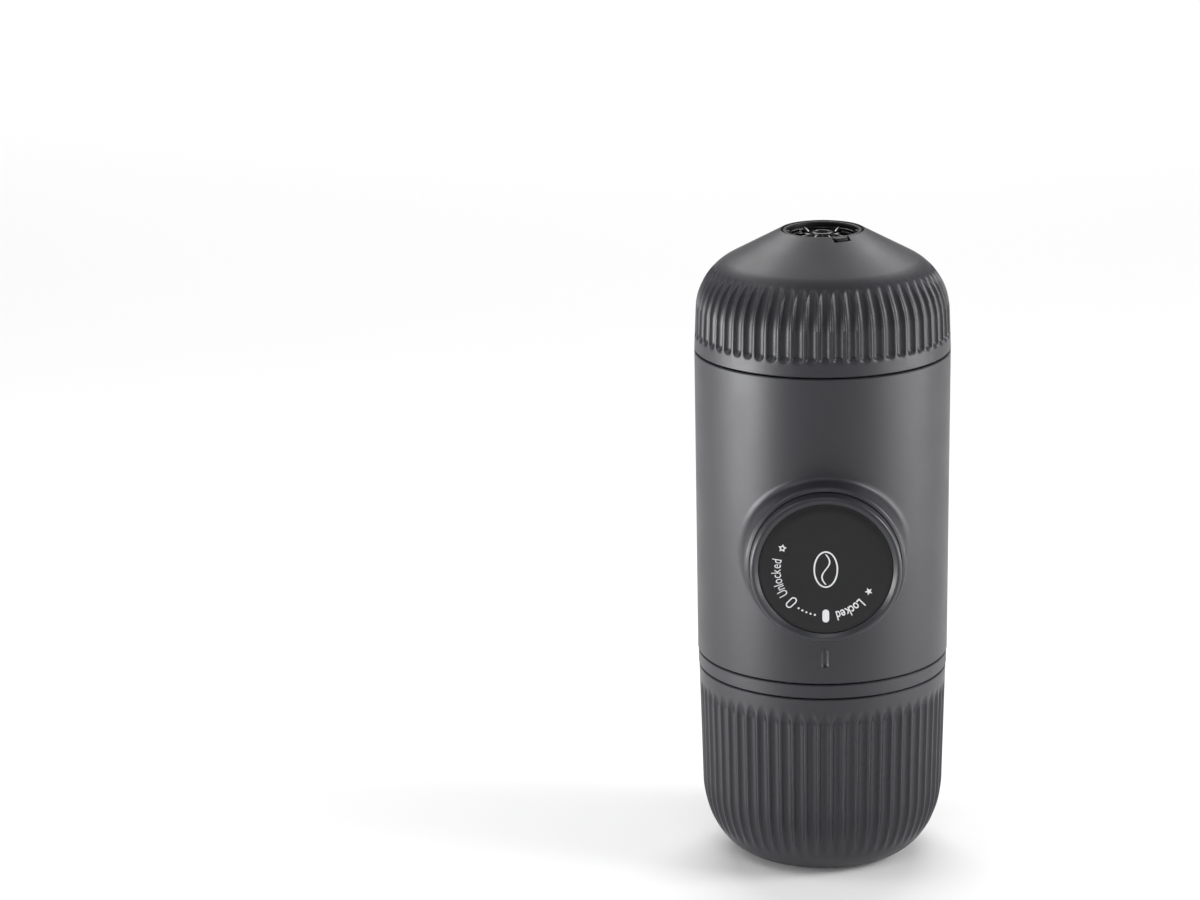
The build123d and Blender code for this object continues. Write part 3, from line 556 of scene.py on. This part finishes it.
def make_outlet_head():
    """The insert in the nozzle: bowl, lip, spokes, finger grips and tab."""
    floor_z = NOZZLE_FLOOR + HEAD_FLOOR
    hub_z = HEAD_TOP - HUB_DROP
    step = HEAD_RADIUS - HEAD_STEP
    lip = HEAD_RADIUS - HEAD_LIP
    ledge = HEAD_TOP - HEAD_LEDGE
    groove = NOZZLE_FLOOR - (NOZZLE_FLOOR - STEM_BOTTOM) / 2
    points = section(
        (OUTLET_HOLE, STEM_BOTTOM), (STEM_RADIUS, STEM_BOTTOM, 0.3),
        (STEM_RADIUS, groove - RING_SECTION), (STEM_RADIUS - FIT, groove - RING_SECTION / 2),
        (STEM_RADIUS - FIT, groove + RING_SECTION / 2), (STEM_RADIUS, groove + RING_SECTION),
        (STEM_RADIUS, NOZZLE_FLOOR), (HEAD_RADIUS, NOZZLE_FLOOR, 0.2),
        (HEAD_RADIUS, ledge), (step, ledge, 0.25), (step, floor_z, 0.25), (HUB_FOOT, floor_z, 0.6),
        (HUB_RADIUS, hub_z, 0.5), (OUTLET_HOLE + 0.7, hub_z, 0.3),
        (OUTLET_HOLE, hub_z - 0.6, 0.25), steps=5)
    piece = rings_piece("outlet_bowl", around_z(points, turns(FINE_TURN)), gloss_black, "spout")
    carve(piece, [cylinder(polar(WINDOW_CIRCLE, (k + 0.5) * 360 / SPOKES), WINDOW_RADIUS,
                           NOZZLE_FLOOR - 1.0, floor_z + 1.0) for k in range(SPOKES)])
    piece.data.shade_smooth()
    piece.data.set_sharp_from_angle(angle=math.radians(38))
    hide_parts("outlet_head")
    points = section((HEAD_RADIUS, ledge), (HEAD_RADIUS, HEAD_TOP, 0.45), (lip, HEAD_TOP, 0.45),
                     (lip, ledge), steps=6)
    rings_piece("outlet_lip", around_z(points, turns(FINE_TURN)), rubber_black, "spout")
    # arched spokes from the hub to the step of the bowl
    root = HUB_RADIUS - 0.4
    for k in range(SPOKES):
        along = polar(1.0, k * 360 / SPOKES)
        across = np.array((-along[1], along[0]))
        outlines = []
        for share in np.linspace(0, 1, 13):
            reach = root + share * (step + 0.3 - root)
            top = hub_z - 0.15 - SPOKE_SAG * math.sin(math.pi * share) - 0.25 * share
            half = SPOKE_WIDTH / 2 * (1 + 0.35 * (2 * share - 1) ** 2)
            ring = []
            for side, drop in ((-1, None), (-1, 0.3), (-0.6, 0.06), (0, 0), (0.6, 0.06),
                               (1, 0.3), (1, None)):
                z = floor_z - 0.1 if drop is None else top - drop
                ring.append((*(along * reach + across * side * half), z))
            outlines.append(ring)
        loft(f"outlet_spoke_{k + 1}", outlines, gloss_black, "spout")
    # two grips for the fingertips on the ledge
    for name, degrees in (("left", 180.0), ("right", 0.0)):
        centre = polar(step + 0.45, degrees)
        points = section((0.0, ledge - 0.1), (PEG_RADIUS, ledge - 0.1),
                         (PEG_RADIUS, HEAD_TOP - 0.25, 0.3), (0.0, HEAD_TOP - 0.2))
        peg = around_z(points, turns(20))
        peg[:, :, :2] += centre
        rings_piece(f"outlet_peg_{name}", peg, gloss_black, "spout", loop=False)
    # the tab that hooks over the rim of the cap
    along = polar(1.0, TAB_ANGLE)
    across = np.array((-along[1], along[0]))
    outlines = []
    for share in np.linspace(-1, 1, 15):
        round_off = math.sqrt(max(0.0, 1 - abs(share) ** TAB_SQUARENESS))
        ring = []
        for reach, rise in ((lip + 0.1, -0.95), (lip + 0.1, -0.2), (lip + 0.5, -0.02),
                            (NOZZLE_RIM, 0.0), (TAB_REACH - 0.25, -0.08),
                            (TAB_REACH, -0.35), (TAB_REACH, -0.75), (TAB_REACH - 0.3, -0.98)):
            out = lip + (reach - lip) * (0.6 + 0.4 * round_off)
            ring.append((*(along * out + across * share * TAB_WIDTH / 2), HEAD_TOP + rise))
        outlines.append(ring)
    loft("outlet_tab", outlines, rubber_black, "spout", 50)


# ---------------------------------------------------------------- knob, its disc and the print
KNOB_BORE = KNOB_RADIUS - 2.0
SKIRT_END = -high("knob", "Y")
LUG_HEIGHT = 0.8
LUG_LENGTH = 2.8
LUG_WIDTH = 5.0
LUGS = 3
DISC_SEAT = DISC_FRONT - 1.0
PLATE_BACK = DISC_SEAT - 2.2
HUB_BACK = PLATE_BACK - 3.3
KNOB_HUB = 6.0
SCREW_BORE = 2.06
SCREW_RECESS = 4.1
SCREW_SEAT = DISC_SEAT - 1.26
DISC_FLAT = 13.3
DISC_FALL = 0.3


def make_knob():
    """The pump button with its lugs and the disc set into its face."""
    points = section(
        (SCREW_BORE, HUB_BACK), (KNOB_HUB, HUB_BACK, 0.4), (KNOB_HUB, PLATE_BACK, 0.8),
        (KNOB_BORE, PLATE_BACK, 0.6), (KNOB_BORE, SKIRT_END, 0.2), (KNOB_RADIUS, SKIRT_END, 0.3),
        (KNOB_RADIUS, KNOB_FRONT, 0.9), (KNOB_RADIUS - 1.05, KNOB_FRONT, 0.3),
        (KNOB_BORE, DISC_FRONT - 0.05, 0.15), (KNOB_BORE, DISC_SEAT),
        (SCREW_RECESS, DISC_SEAT), (SCREW_RECESS, SCREW_SEAT), (SCREW_BORE, SCREW_SEAT), steps=6)
    around = turns(2 * FINE_TURN)
    piece = rings_piece("knob_body", around_pump(points, around), knob_abs, "pump_knob")
    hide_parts("knob")
    for k in range(LUGS):
        up = polar(1.0, 90 + k * 360 / LUGS)
        across = np.array((-up[1], up[0]))
        outlines = []
        for reach, inset in ((0.0, 0.35), (0.15, 0.1), (0.4, 0.0), (LUG_LENGTH - 0.4, 0.0),
                             (LUG_LENGTH - 0.1, 0.15), (LUG_LENGTH, 0.35)):
            ring = []
            for side, rise in ((-1, -0.3), (-1, LUG_HEIGHT - 0.25 - inset),
                               (-0.9, LUG_HEIGHT - 0.02 - inset), (0.9, LUG_HEIGHT - 0.02 - inset),
                               (1, LUG_HEIGHT - 0.25 - inset), (1, -0.3)):
                spot = up * (KNOB_RADIUS + rise) + across * side * (LUG_WIDTH / 2 - inset)
                ring.append((spot[0], -(SKIRT_END + reach), PUMP_Z + spot[1]))
            outlines.append(ring)
        loft(f"knob_lug_{k + 1}", outlines, knob_abs, "pump_knob")
    rim = KNOB_BORE - 0.04
    edge = section((DISC_FLAT, DISC_FRONT), (rim, DISC_FRONT - DISC_FALL, 0.15), (rim, DISC_SEAT))
    crown = [(DISC_FLAT + (rim - 0.4 - DISC_FLAT) * s,
              DISC_FRONT - DISC_FALL * s ** 2) for s in np.linspace(0, 1, 8)]
    points = [(0.0, DISC_FRONT), (DISC_FLAT / 2, DISC_FRONT), *crown, *edge[1:], (0.0, DISC_SEAT)]
    piece = rings_piece("knob_disc_face", around_pump(points, around), disc_black, "pump_knob",
                        loop=False, crease_degrees=50)
    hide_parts("knob_disc")


PRINT_THICKNESS = 0.02
LETTER_HEIGHT = 2.24
LETTER_NARROW = 0.72
LETTER_GAP = 0.28
TEXT_RADIUS = 10.55
# height of the built-in font's capitals as a share of its size
CAP_SHARE = 0.682
BOLD = 0.045
MARK_RADIUS = 11.4
STROKE = 0.36
FINE_STROKE = 0.288
DOTS = 5
DOT_RADIUS = 0.25
BEAN_WIDTH = 5.4
BEAN_LENGTH = 8.6
BEAN_SEAM = 7.4
BEAN_WAVE = 0.9


def print_on_disc(name, outline_sets):
    """Flat inked shapes on the disc: each is (points in the disc's plane, faces)."""
    front = -(DISC_FRONT + PRINT_THICKNESS)
    points, faces = [], []
    for flat, polygons in outline_sets:
        first, count = len(points), len(flat)
        flat = np.asarray(flat)
        for y in (front, -DISC_FRONT + 0.01):
            points += [(x * MM, y * MM, (PUMP_Z + z) * MM) for x, z in flat]
        edges = {}
        for polygon in polygons:
            faces.append(tuple(first + k for k in polygon))
            faces.append(tuple(first + count + k for k in reversed(polygon)))
            for a, b in zip(polygon, polygon[1:] + polygon[:1]):
                edges[(a, b)] = True
        for a, b in edges:
            if (b, a) not in edges:
                faces.append((first + b, first + a, first + count + a, first + count + b))
    mesh = bpy.data.meshes.new(name)
    mesh.from_pydata(points, [], faces)
    return finish_piece(name, mesh, white_ink, "pump_knob", 30)


def glyph(letter, weight):
    """A letter of the built-in font as flat points and faces, its strokes grown by a weight."""
    curve = bpy.data.curves.new("glyph", "FONT")
    curve.body = letter
    curve.size = LETTER_HEIGHT / CAP_SHARE
    curve.resolution_u = 4
    curve.offset = weight
    holder = bpy.data.objects.new("glyph", curve)
    bpy.context.scene.collection.objects.link(holder)
    bpy.context.view_layer.update()
    mesh = bpy.data.meshes.new_from_object(holder)
    points = [(v.co.x * LETTER_NARROW, v.co.y) for v in mesh.vertices]
    faces = [tuple(p.vertices) for p in mesh.polygons]
    bpy.data.objects.remove(holder)
    return np.array(points), faces


def print_word(word, start, weight=0.0):
    """A word that runs clockwise round the disc from an angle, with its tops outward."""
    shapes, angle = [], start
    for letter in word:
        flat, faces = glyph(letter, weight)
        wide = flat[:, 0].max() - flat[:, 0].min()
        turn = math.degrees((wide + LETTER_GAP - 3 * weight)
                            / (TEXT_RADIUS + LETTER_HEIGHT / 2))
        up = polar(1.0, angle - turn / 2)
        aside = np.array((up[1], -up[0]))
        flat[:, 0] -= flat[:, 0].min() + wide / 2
        shapes.append((flat[:, :1] * aside + (TEXT_RADIUS + flat[:, 1:]) * up, faces))
        angle -= turn
    print_on_disc("print_" + word.lower(), shapes)


def ribbon(line, width):
    """A closed line as a band of constant width: its flat points and faces."""
    line = np.asarray(line)
    ahead = np.roll(line, -1, axis=0) - line
    ahead /= np.linalg.norm(ahead, axis=1, keepdims=True)
    behind = np.roll(ahead, 1, axis=0)
    mid = ahead + behind
    mid /= np.linalg.norm(mid, axis=1, keepdims=True)
    normal = np.stack([-mid[:, 1], mid[:, 0]], axis=1)
    stretch = width / 2 / np.clip((mid * ahead).sum(axis=1, keepdims=True), 0.4, 1)
    count = len(line)
    points = np.vstack([line + normal * stretch, line - normal * stretch])
    faces = [(k, (k + 1) % count, count + (k + 1) % count, count + k) for k in range(count)]
    return points, faces


def placed(line, radius, degrees):
    """A shape drawn upright about its own centre, turned and moved to its place on the disc."""
    up = polar(1.0, degrees)
    aside = np.array((up[1], -up[0]))
    line = np.asarray(line)
    return line[:, :1] * aside + (line[:, 1:] + radius) * up


def slot_line(width, height, steps=10):
    """The outline of an upright slot with round ends."""
    turn = np.linspace(0, math.pi, steps)
    rise = (height - width) / 2
    top = np.stack([np.cos(turn), np.sin(turn)], axis=1) * width / 2 + (0, rise)
    return np.vstack([top, -top])


def star_line(outer, inner):
    """The outline of a five-pointed star."""
    return [polar(inner if k % 2 else outer, 90 + 36 * k) for k in range(10)]


def filled(line, degrees):
    """A shape of the mark circle as a fan of faces about its centre."""
    flat = placed([*line, (0.0, 0.0)], MARK_RADIUS, degrees)
    count = len(line)
    return flat, [(k, (k + 1) % count, count) for k in range(count)]


def print_marks():
    """Everything printed on the disc: the two words, the marks, the stars, dots and the bean."""
    print_word("Locked", -42.4, BOLD)
    print_word("Unlocked", -145.9)
    for name, line, degrees in (("print_locked_mark", slot_line(1.6, 3.2), -90.0),
                                ("print_locked_star", star_line(0.95, 0.42), -28.3)):
        print_on_disc(name, [filled(line, degrees)])
    for name, line, degrees in (("print_unlocked_mark", slot_line(1.35, 2.75), -135.0),
                                ("print_unlocked_star", star_line(0.72, 0.40), 152.6)):
        print_on_disc(name, [ribbon(placed(line, MARK_RADIUS, degrees), FINE_STROKE)])
    dot = [polar(DOT_RADIUS, k * 30) for k in range(12)]
    print_on_disc("print_turn_dots", [filled(dot, degrees) for degrees in
                                      np.linspace(-103.0, -124.0, DOTS)])
    # a plain coffee bean in the middle
    turn = turns(48)
    bean = np.stack([BEAN_WIDTH / 2 * np.cos(turn), BEAN_LENGTH / 2 * np.sin(turn)], axis=1)
    seam = np.linspace(-1, 1, 24)
    middle = np.stack([BEAN_WAVE * np.sin(seam * math.pi), BEAN_SEAM / 2 * seam], axis=1)
    sides = np.vstack([middle + (STROKE / 2, 0), middle - (STROKE / 2, 0)])
    shapes = [ribbon(bean, STROKE), (sides, [(k, k + 1, 25 + k, 24 + k) for k in range(23)])]
    print_on_disc("print_bean", shapes)


# ---------------------------------------------------------------- body case with the knob's collar
SHELL_LOW_RADIUS = BODY_RADIUS - 0.3
CASE_BORE = SHELL_LOW_RADIUS - 2.2
MOUTH_RADIUS = KNOB_RADIUS + 0.15
LUG_WELL_RADIUS = KNOB_RADIUS + LUG_HEIGHT + 0.15
LUG_WELL_DEPTH = 3.05
COLLAR_FRONT = -low("body_shell", "Y")
COLLAR_RADIUS = 19.0
COLLAR_LEAN = 0.02
COLLAR_FILLET = 1.6
COLLAR_ROUND = 0.5
LIP_SLOPE = math.radians(30)
PATCH_RADIUS = 23.0
RAY_ORIGIN = 12.0
RAY_NEAR, RAY_FAR, HALVINGS = 0.7, 1.3, 32
LEG_STEPS = (6, 6, 8, 18, 8)
SHEET_COLUMNS = 121
SHEET_ROWS = 76
SPREAD_RINGS = 16
INDEX_LENGTH = 5.0
INDEX_WIDTH = 1.8
INDEX_DEPTH = 0.45
INDEX_RISE = 6.6


def case_radius(height):
    """Radius of the case's outside at a height."""
    share = (height - BODY_BOTTOM) / (BODY_TOP - BODY_BOTTOM)
    return SHELL_LOW_RADIUS + (BODY_RADIUS - SHELL_LOW_RADIUS) * share


def on_tube(radius, azimuth, height):
    """Points on an upright tube, with the azimuth counted from the knob's side."""
    return np.stack([radius * np.sin(azimuth), -radius * np.cos(azimuth),
                     height + 0 * azimuth], axis=-1)


def smooth_least(a, b, width):
    """The smaller of two distances, rounded off where they cross."""
    near = np.maximum(width - np.abs(a - b), 0) / width
    return np.minimum(a, b) - near ** 2 * width / 4


def collar_rings(side, rise):
    """Rings from the knob's mouth over the collar and its foot onto the case."""
    def field(out, reach):
        """Signed distance to the collar and the case, blended where they meet."""
        wall = out - COLLAR_RADIUS - COLLAR_LEAN * (COLLAR_FRONT - reach)
        face = ((reach - COLLAR_FRONT) * math.cos(LIP_SLOPE)
                + (out - MOUTH_RADIUS) * math.sin(LIP_SLOPE))
        collar = -smooth_least(-wall, -face, COLLAR_ROUND)
        case = np.hypot(out * side, reach) - case_radius(PUMP_Z + out * rise)
        return smooth_least(collar, case, COLLAR_FILLET)

    def surface(out):
        """Reach of the case's surface at a distance from the pump's axis."""
        return np.sqrt(case_radius(PUMP_Z + out * rise) ** 2 - (out * side) ** 2)

    foot = COLLAR_RADIUS + 0.15
    rest = 0 * side
    guide = [(MOUTH_RADIUS + 0.1 + rest, COLLAR_FRONT + rest),
             (COLLAR_RADIUS - 0.1 + rest, COLLAR_FRONT - 0.5 + rest),
             (COLLAR_RADIUS + rest, COLLAR_FRONT - 0.9 + rest),
             (foot + rest, surface(foot) + COLLAR_FILLET * 1.2),
             (foot + COLLAR_FILLET * 1.2 + rest, surface(foot + COLLAR_FILLET * 1.2)),
             (PATCH_RADIUS + rest, surface(PATCH_RADIUS))]
    # each point is found on a ray from inside the collar through the guide line
    rings = [(MOUTH_RADIUS + rest, COLLAR_FRONT - 0.12 + rest)]
    for (out_a, reach_a), (out_b, reach_b), steps in zip(guide, guide[1:], LEG_STEPS):
        for k in range(steps):
            aim_out = out_a + (out_b - out_a) * k / steps - RAY_ORIGIN
            aim_reach = reach_a + (reach_b - reach_a) * k / steps - RAY_ORIGIN
            near, far = RAY_NEAR + rest, RAY_FAR + rest
            for _ in range(HALVINGS):
                half = (near + far) / 2
                inside = field(RAY_ORIGIN + aim_out * half, RAY_ORIGIN + aim_reach * half) < 0
                near, far = np.where(inside, half, near), np.where(inside, far, half)
            rings.append((RAY_ORIGIN + aim_out * near, RAY_ORIGIN + aim_reach * near))
    rings.append(guide[-1])
    return [np.stack([out * side, -reach, PUMP_Z + out * rise], axis=-1) for out, reach in rings]


def sheet_faces(rows, columns, first):
    """Quads of an open sheet of points."""
    return [(first + r * columns + c, first + r * columns + c + 1,
             first + (r + 1) * columns + c + 1, first + (r + 1) * columns + c)
            for r in range(rows - 1) for c in range(columns - 1)]


def make_case():
    """The body's tube with the collar, its bore, the lug well and the index mark."""
    low_z, high_z = BODY_BOTTOM + EDGE_BREAK, BODY_TOP - EDGE_BREAK
    wide = np.radians(np.linspace(-90, 90, SHEET_COLUMNS))
    tall = np.linspace(low_z, high_z, SHEET_ROWS)
    border = np.array([(a, low_z) for a in wide[:-1]] + [(wide[-1], z) for z in tall[:-1]]
                      + [(a, high_z) for a in wide[:0:-1]] + [(wide[0], z) for z in tall[:0:-1]])
    bearing = np.arctan2(border[:, 1] - PUMP_Z, border[:, 0] * BODY_RADIUS)
    side, rise = np.cos(bearing), np.sin(bearing)

    def spread(out, radius_at):
        """Rings from a circle round the pump's axis to the border of the front half."""
        height = PUMP_Z + out * rise
        start = np.stack([np.arcsin(out * side / radius_at(height)), height], axis=1)
        spots = [start + (border - start) * share
                 for share in np.linspace(0, 1, SPREAD_RINGS)]
        return [on_tube(radius_at(spot[:, 1]), spot[:, 0], spot[:, 1]) for spot in spots]

    def bore_at(height):
        """Radius of the case's bore, the same at every height."""
        return CASE_BORE + 0 * height

    # the front half, from the bore through the lug well and over the collar to the outside
    front = spread(LUG_WELL_RADIUS, bore_at)[::-1]
    for radius in (LUG_WELL_RADIUS, MOUTH_RADIUS):
        front.append(np.stack([radius * side, 0 * side - COLLAR_FRONT + LUG_WELL_DEPTH,
                               PUMP_Z + radius * rise], axis=-1))
    front += collar_rings(side, rise)
    front += spread(PATCH_RADIUS, case_radius)[1:]
    points, faces = list(np.concatenate(front)), ring_faces(len(front), len(border))
    # the plain back half and the two broken end rims
    behind = np.radians(np.linspace(90, 270, SHEET_COLUMNS))
    for radius_at in (case_radius, bore_at):
        faces += sheet_faces(len(tall), len(behind), len(points))
        for z in tall:
            points += list(on_tube(radius_at(z), behind, z))
    circle = np.concatenate([wide, behind[1:-1]])
    for edge, end in ((high_z, BODY_TOP), (low_z, BODY_BOTTOM)):
        faces += ring_faces(4, len(circle), len(points))
        for radius, z in ((case_radius(edge), edge), (case_radius(edge) - EDGE_BREAK, end),
                          (CASE_BORE + EDGE_BREAK, end), (CASE_BORE, edge)):
            points += list(on_tube(radius, circle, z))
    mesh = bpy.data.meshes.new("body_case")
    mesh.from_pydata((np.array(points) * MM).tolist(), [], faces)
    piece = finish_piece("body_case", mesh, slate_abs, "main_body", 38)
    line = slot_line(INDEX_WIDTH, INDEX_LENGTH, 12)
    middle = BODY_BOTTOM + INDEX_RISE
    count = len(line)
    cutter = [(x, -reach, middle + z) for reach in (SHELL_LOW_RADIUS - INDEX_DEPTH - 0.01,
                                                    BODY_RADIUS + 1) for x, z in line]
    walls = [(k, (k + 1) % count, count + (k + 1) % count, count + k) for k in range(count)]
    carve(piece, [(cutter, walls + [tuple(reversed(range(count))),
                                    tuple(range(count, 2 * count))])])
    piece.data.shade_smooth()
    piece.data.set_sharp_from_angle(angle=math.radians(38))
    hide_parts("body_shell")
    # the rounded bed of the index mark
    half = INDEX_WIDTH / 2 - 0.01
    bed = [(s, (INDEX_DEPTH - 0.02) * (1 - s ** 2)) for s in np.linspace(1, 0.04, 14)]
    outlines = []
    for share, sink in [(1.0, INDEX_DEPTH), *bed]:
        span = 2 * half * share
        outlines.append([(x, sink - SHELL_LOW_RADIUS, middle + z)
                         for x, z in slot_line(span, INDEX_LENGTH - INDEX_WIDTH + span, 12)])
    loft("index_bed", outlines, slate_abs, "main_body", 60)


# ---------------------------------------------------------------- threads and the return spring
THREAD_GAP = 0.7
THREAD_RISE = 0.5
THREAD_HALF = 0.75
THREAD_TURNS = 1.25
THREAD_STEPS = 72
THREAD_FADE = 10
THREAD_START = 0.15
THREAD_FOOT = 1.7
TANK_THREAD_FOOT = 1.2
CAP_THREAD_PITCH = 2.8
TANK_THREAD_PITCH = 2.5


def thread(name, wall, rise, low_z, pitch, material, body):
    """A helical ridge that fades in and out; the rise is negative on an inner wall."""
    steps = int(THREAD_TURNS * THREAD_STEPS)
    root = wall - math.copysign(0.12, rise)
    outlines = []
    for k in range(steps + 1):
        share = k / steps
        grow = min(1.0, THREAD_START + min(share, 1 - share) * THREAD_FADE)
        angle = math.tau * THREAD_TURNS * share
        centre = low_z + pitch * THREAD_TURNS * share
        tip = wall + rise * grow
        outlines.append([(r * math.cos(angle), r * math.sin(angle), centre + dz * grow)
                         for r, dz in ((root, -THREAD_HALF), (tip - rise * 0.3, -THREAD_HALF * 0.6),
                                       (tip, -THREAD_HALF * 0.3), (tip, THREAD_HALF * 0.3),
                                       (tip - rise * 0.3, THREAD_HALF * 0.6),
                                       (root, THREAD_HALF))])
    loft(name, outlines, material, body)


def make_threads():
    """Both screwed joints: a ridge on each part, half a pitch apart."""
    cap_foot = BODY_TOP + THREAD_FOOT
    tank_foot = BODY_BOTTOM + TANK_THREAD_FOOT
    thread("spigot_thread", CAP_THREAD_BORE - THREAD_GAP, THREAD_RISE, cap_foot,
           CAP_THREAD_PITCH, black_abs, "main_body")
    thread("cap_thread", CAP_THREAD_BORE, -THREAD_RISE, cap_foot + CAP_THREAD_PITCH / 2,
           CAP_THREAD_PITCH, slate_abs, "portafilter")
    thread("tank_thread", CASE_BORE - THREAD_GAP, THREAD_RISE, tank_foot,
           TANK_THREAD_PITCH, slate_abs, "tank")
    thread("shell_thread", CASE_BORE, -THREAD_RISE, tank_foot + TANK_THREAD_PITCH / 2,
           TANK_THREAD_PITCH, slate_abs, "main_body")


SPRING_WIRE = 0.8
SPRING_TURNS = 6
SPRING_STEPS = 60
WIRE_SIDES = 12
SPRING_RADIUS = high("return_spring", "X") - SPRING_WIRE
SPRING_BACK = -high("return_spring", "Y") + SPRING_WIRE
SPRING_FRONT = -low("return_spring", "Y") - SPRING_WIRE


def make_spring():
    """The coil between housing and knob."""
    steps = SPRING_TURNS * SPRING_STEPS
    outlines = []
    for k in range(steps + 1):
        share = k / steps
        angle = math.tau * SPRING_TURNS * share
        reach = SPRING_BACK + (SPRING_FRONT - SPRING_BACK) * share
        ring = []
        for wire in turns(WIRE_SIDES):
            radius = SPRING_RADIUS + SPRING_WIRE * math.cos(wire)
            ring.append((radius * math.cos(angle), -(reach + SPRING_WIRE * math.sin(wire)),
                         PUMP_Z + radius * math.sin(angle)))
        outlines.append(ring)
    piece = loft("coil_spring", outlines, spring_steel, None, 60)
    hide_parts("return_spring")
    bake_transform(piece)


make_cup()
make_cap()
make_outlet_head()
make_knob()
print_marks()
make_case()
make_threads()
make_spring()

# ---------------------------------------------------------------- stage, light and camera
FLOOR_RADIUS = 6.0
bpy.ops.mesh.primitive_circle_add(vertices=128, radius=FLOOR_RADIUS, fill_type="NGON")
floor = bpy.context.object
floor.name = "floor"
floor_paint, floor_tree = new_material("floor_paper_matt")
finish_material(floor_tree, add(floor_tree, "ShaderNodeBsdfPrincipled", {
    "Base Color": linear("#F4F4F4"), "Roughness": 0.9, "Specular IOR Level": 0.1}))
paint(floor, floor_paint)

world = bpy.data.worlds.new("studio_air")
bpy.context.scene.world = world
world.use_nodes = True
world.node_tree.nodes["Background"].inputs["Color"].default_value = (1.0, 1.0, 1.0, 1.0)
world.node_tree.nodes["Background"].inputs["Strength"].default_value = 0.27


def soft_box(name, place, target, size, power):
    """A rectangular soft box at a place in metres, aimed at a target."""
    data = bpy.data.lights.new(name, "AREA")
    data.shape = "RECTANGLE"
    data.size, data.size_y = size
    data.energy = power
    lamp = bpy.data.objects.new(name, data)
    bpy.context.scene.collection.objects.link(lamp)
    lamp.location = place
    lamp.rotation_euler = (Vector(target) - Vector(place)).to_track_quat("-Z", "Y").to_euler()
    return lamp


def side_box(name, degrees, height, size, power):
    """A box beside the maker, at a bearing from the camera's side, aimed at its lower half."""
    spot = polar(BOX_REACH, degrees)
    soft_box(name, (spot[1], -spot[0], height), (0.0, 0.0, min(height, 0.12)), size, power)


# two low keys for the tall highlights, rims for the edges, high boxes for the dome,
# and a far one that keeps the floor white; bearings in degrees, sizes in metres, power in watts
BOX_REACH = 0.58
side_box("key_left", -68, 0.05, (0.30, 0.10), 2.5)
side_box("rim_left", -90, 0.10, (0.20, 0.20), 1.0)
side_box("high_left", -80, 0.75, (0.40, 0.40), 1.3)
side_box("key_right", 68, 0.05, (0.30, 0.10), 0.7)
side_box("rim_right", 90, 0.10, (0.20, 0.20), 1.1)
side_box("high_right", 76, 0.36, (0.30, 0.20), 2.4)
soft_box("front", (0.0, -1.2, 1.6), (0.0, 0.0, 0.0), (0.8, 0.5), 3.5)
soft_box("backdrop", (0.0, 2.6, 2.4), (0.0, 1.6, 0.0), (3.2, 1.4), 96.0)

# a long lens that looks down on the maker
SENSOR_MM = 36.0
FOCAL_PX = 3823.0
FRAME_WIDTH_PX = 1200
CAMERA_PLACE_MM = (-18.77, -893.69, 351.01)
CAMERA_YAW = -0.039299
CAMERA_PITCH = 0.272058
CAMERA_ROLL = -0.015984

lens = bpy.data.cameras.new("studio_camera")
lens.sensor_width = SENSOR_MM
lens.sensor_fit = "HORIZONTAL"
lens.lens = FOCAL_PX / FRAME_WIDTH_PX * SENSOR_MM
lens.clip_start = 0.01
lens.clip_end = 50.0
camera = bpy.data.objects.new("studio_camera", lens)
bpy.context.scene.collection.objects.link(camera)
forward = Vector((math.sin(CAMERA_YAW) * math.cos(CAMERA_PITCH),
                  math.cos(CAMERA_YAW) * math.cos(CAMERA_PITCH), -math.sin(CAMERA_PITCH)))
level = Vector((math.cos(CAMERA_YAW), -math.sin(CAMERA_YAW), 0.0))
upward = level.cross(forward)
right = level * math.cos(CAMERA_ROLL) + upward * math.sin(CAMERA_ROLL)
above = upward * math.cos(CAMERA_ROLL) - level * math.sin(CAMERA_ROLL)
turn = Matrix((right, above, -forward)).transposed().to_4x4()
camera.matrix_world = Matrix.Translation(Vector(CAMERA_PLACE_MM) * MM) @ turn
bpy.context.scene.camera = camera
bpy.context.scene.view_settings.view_transform = "Standard"
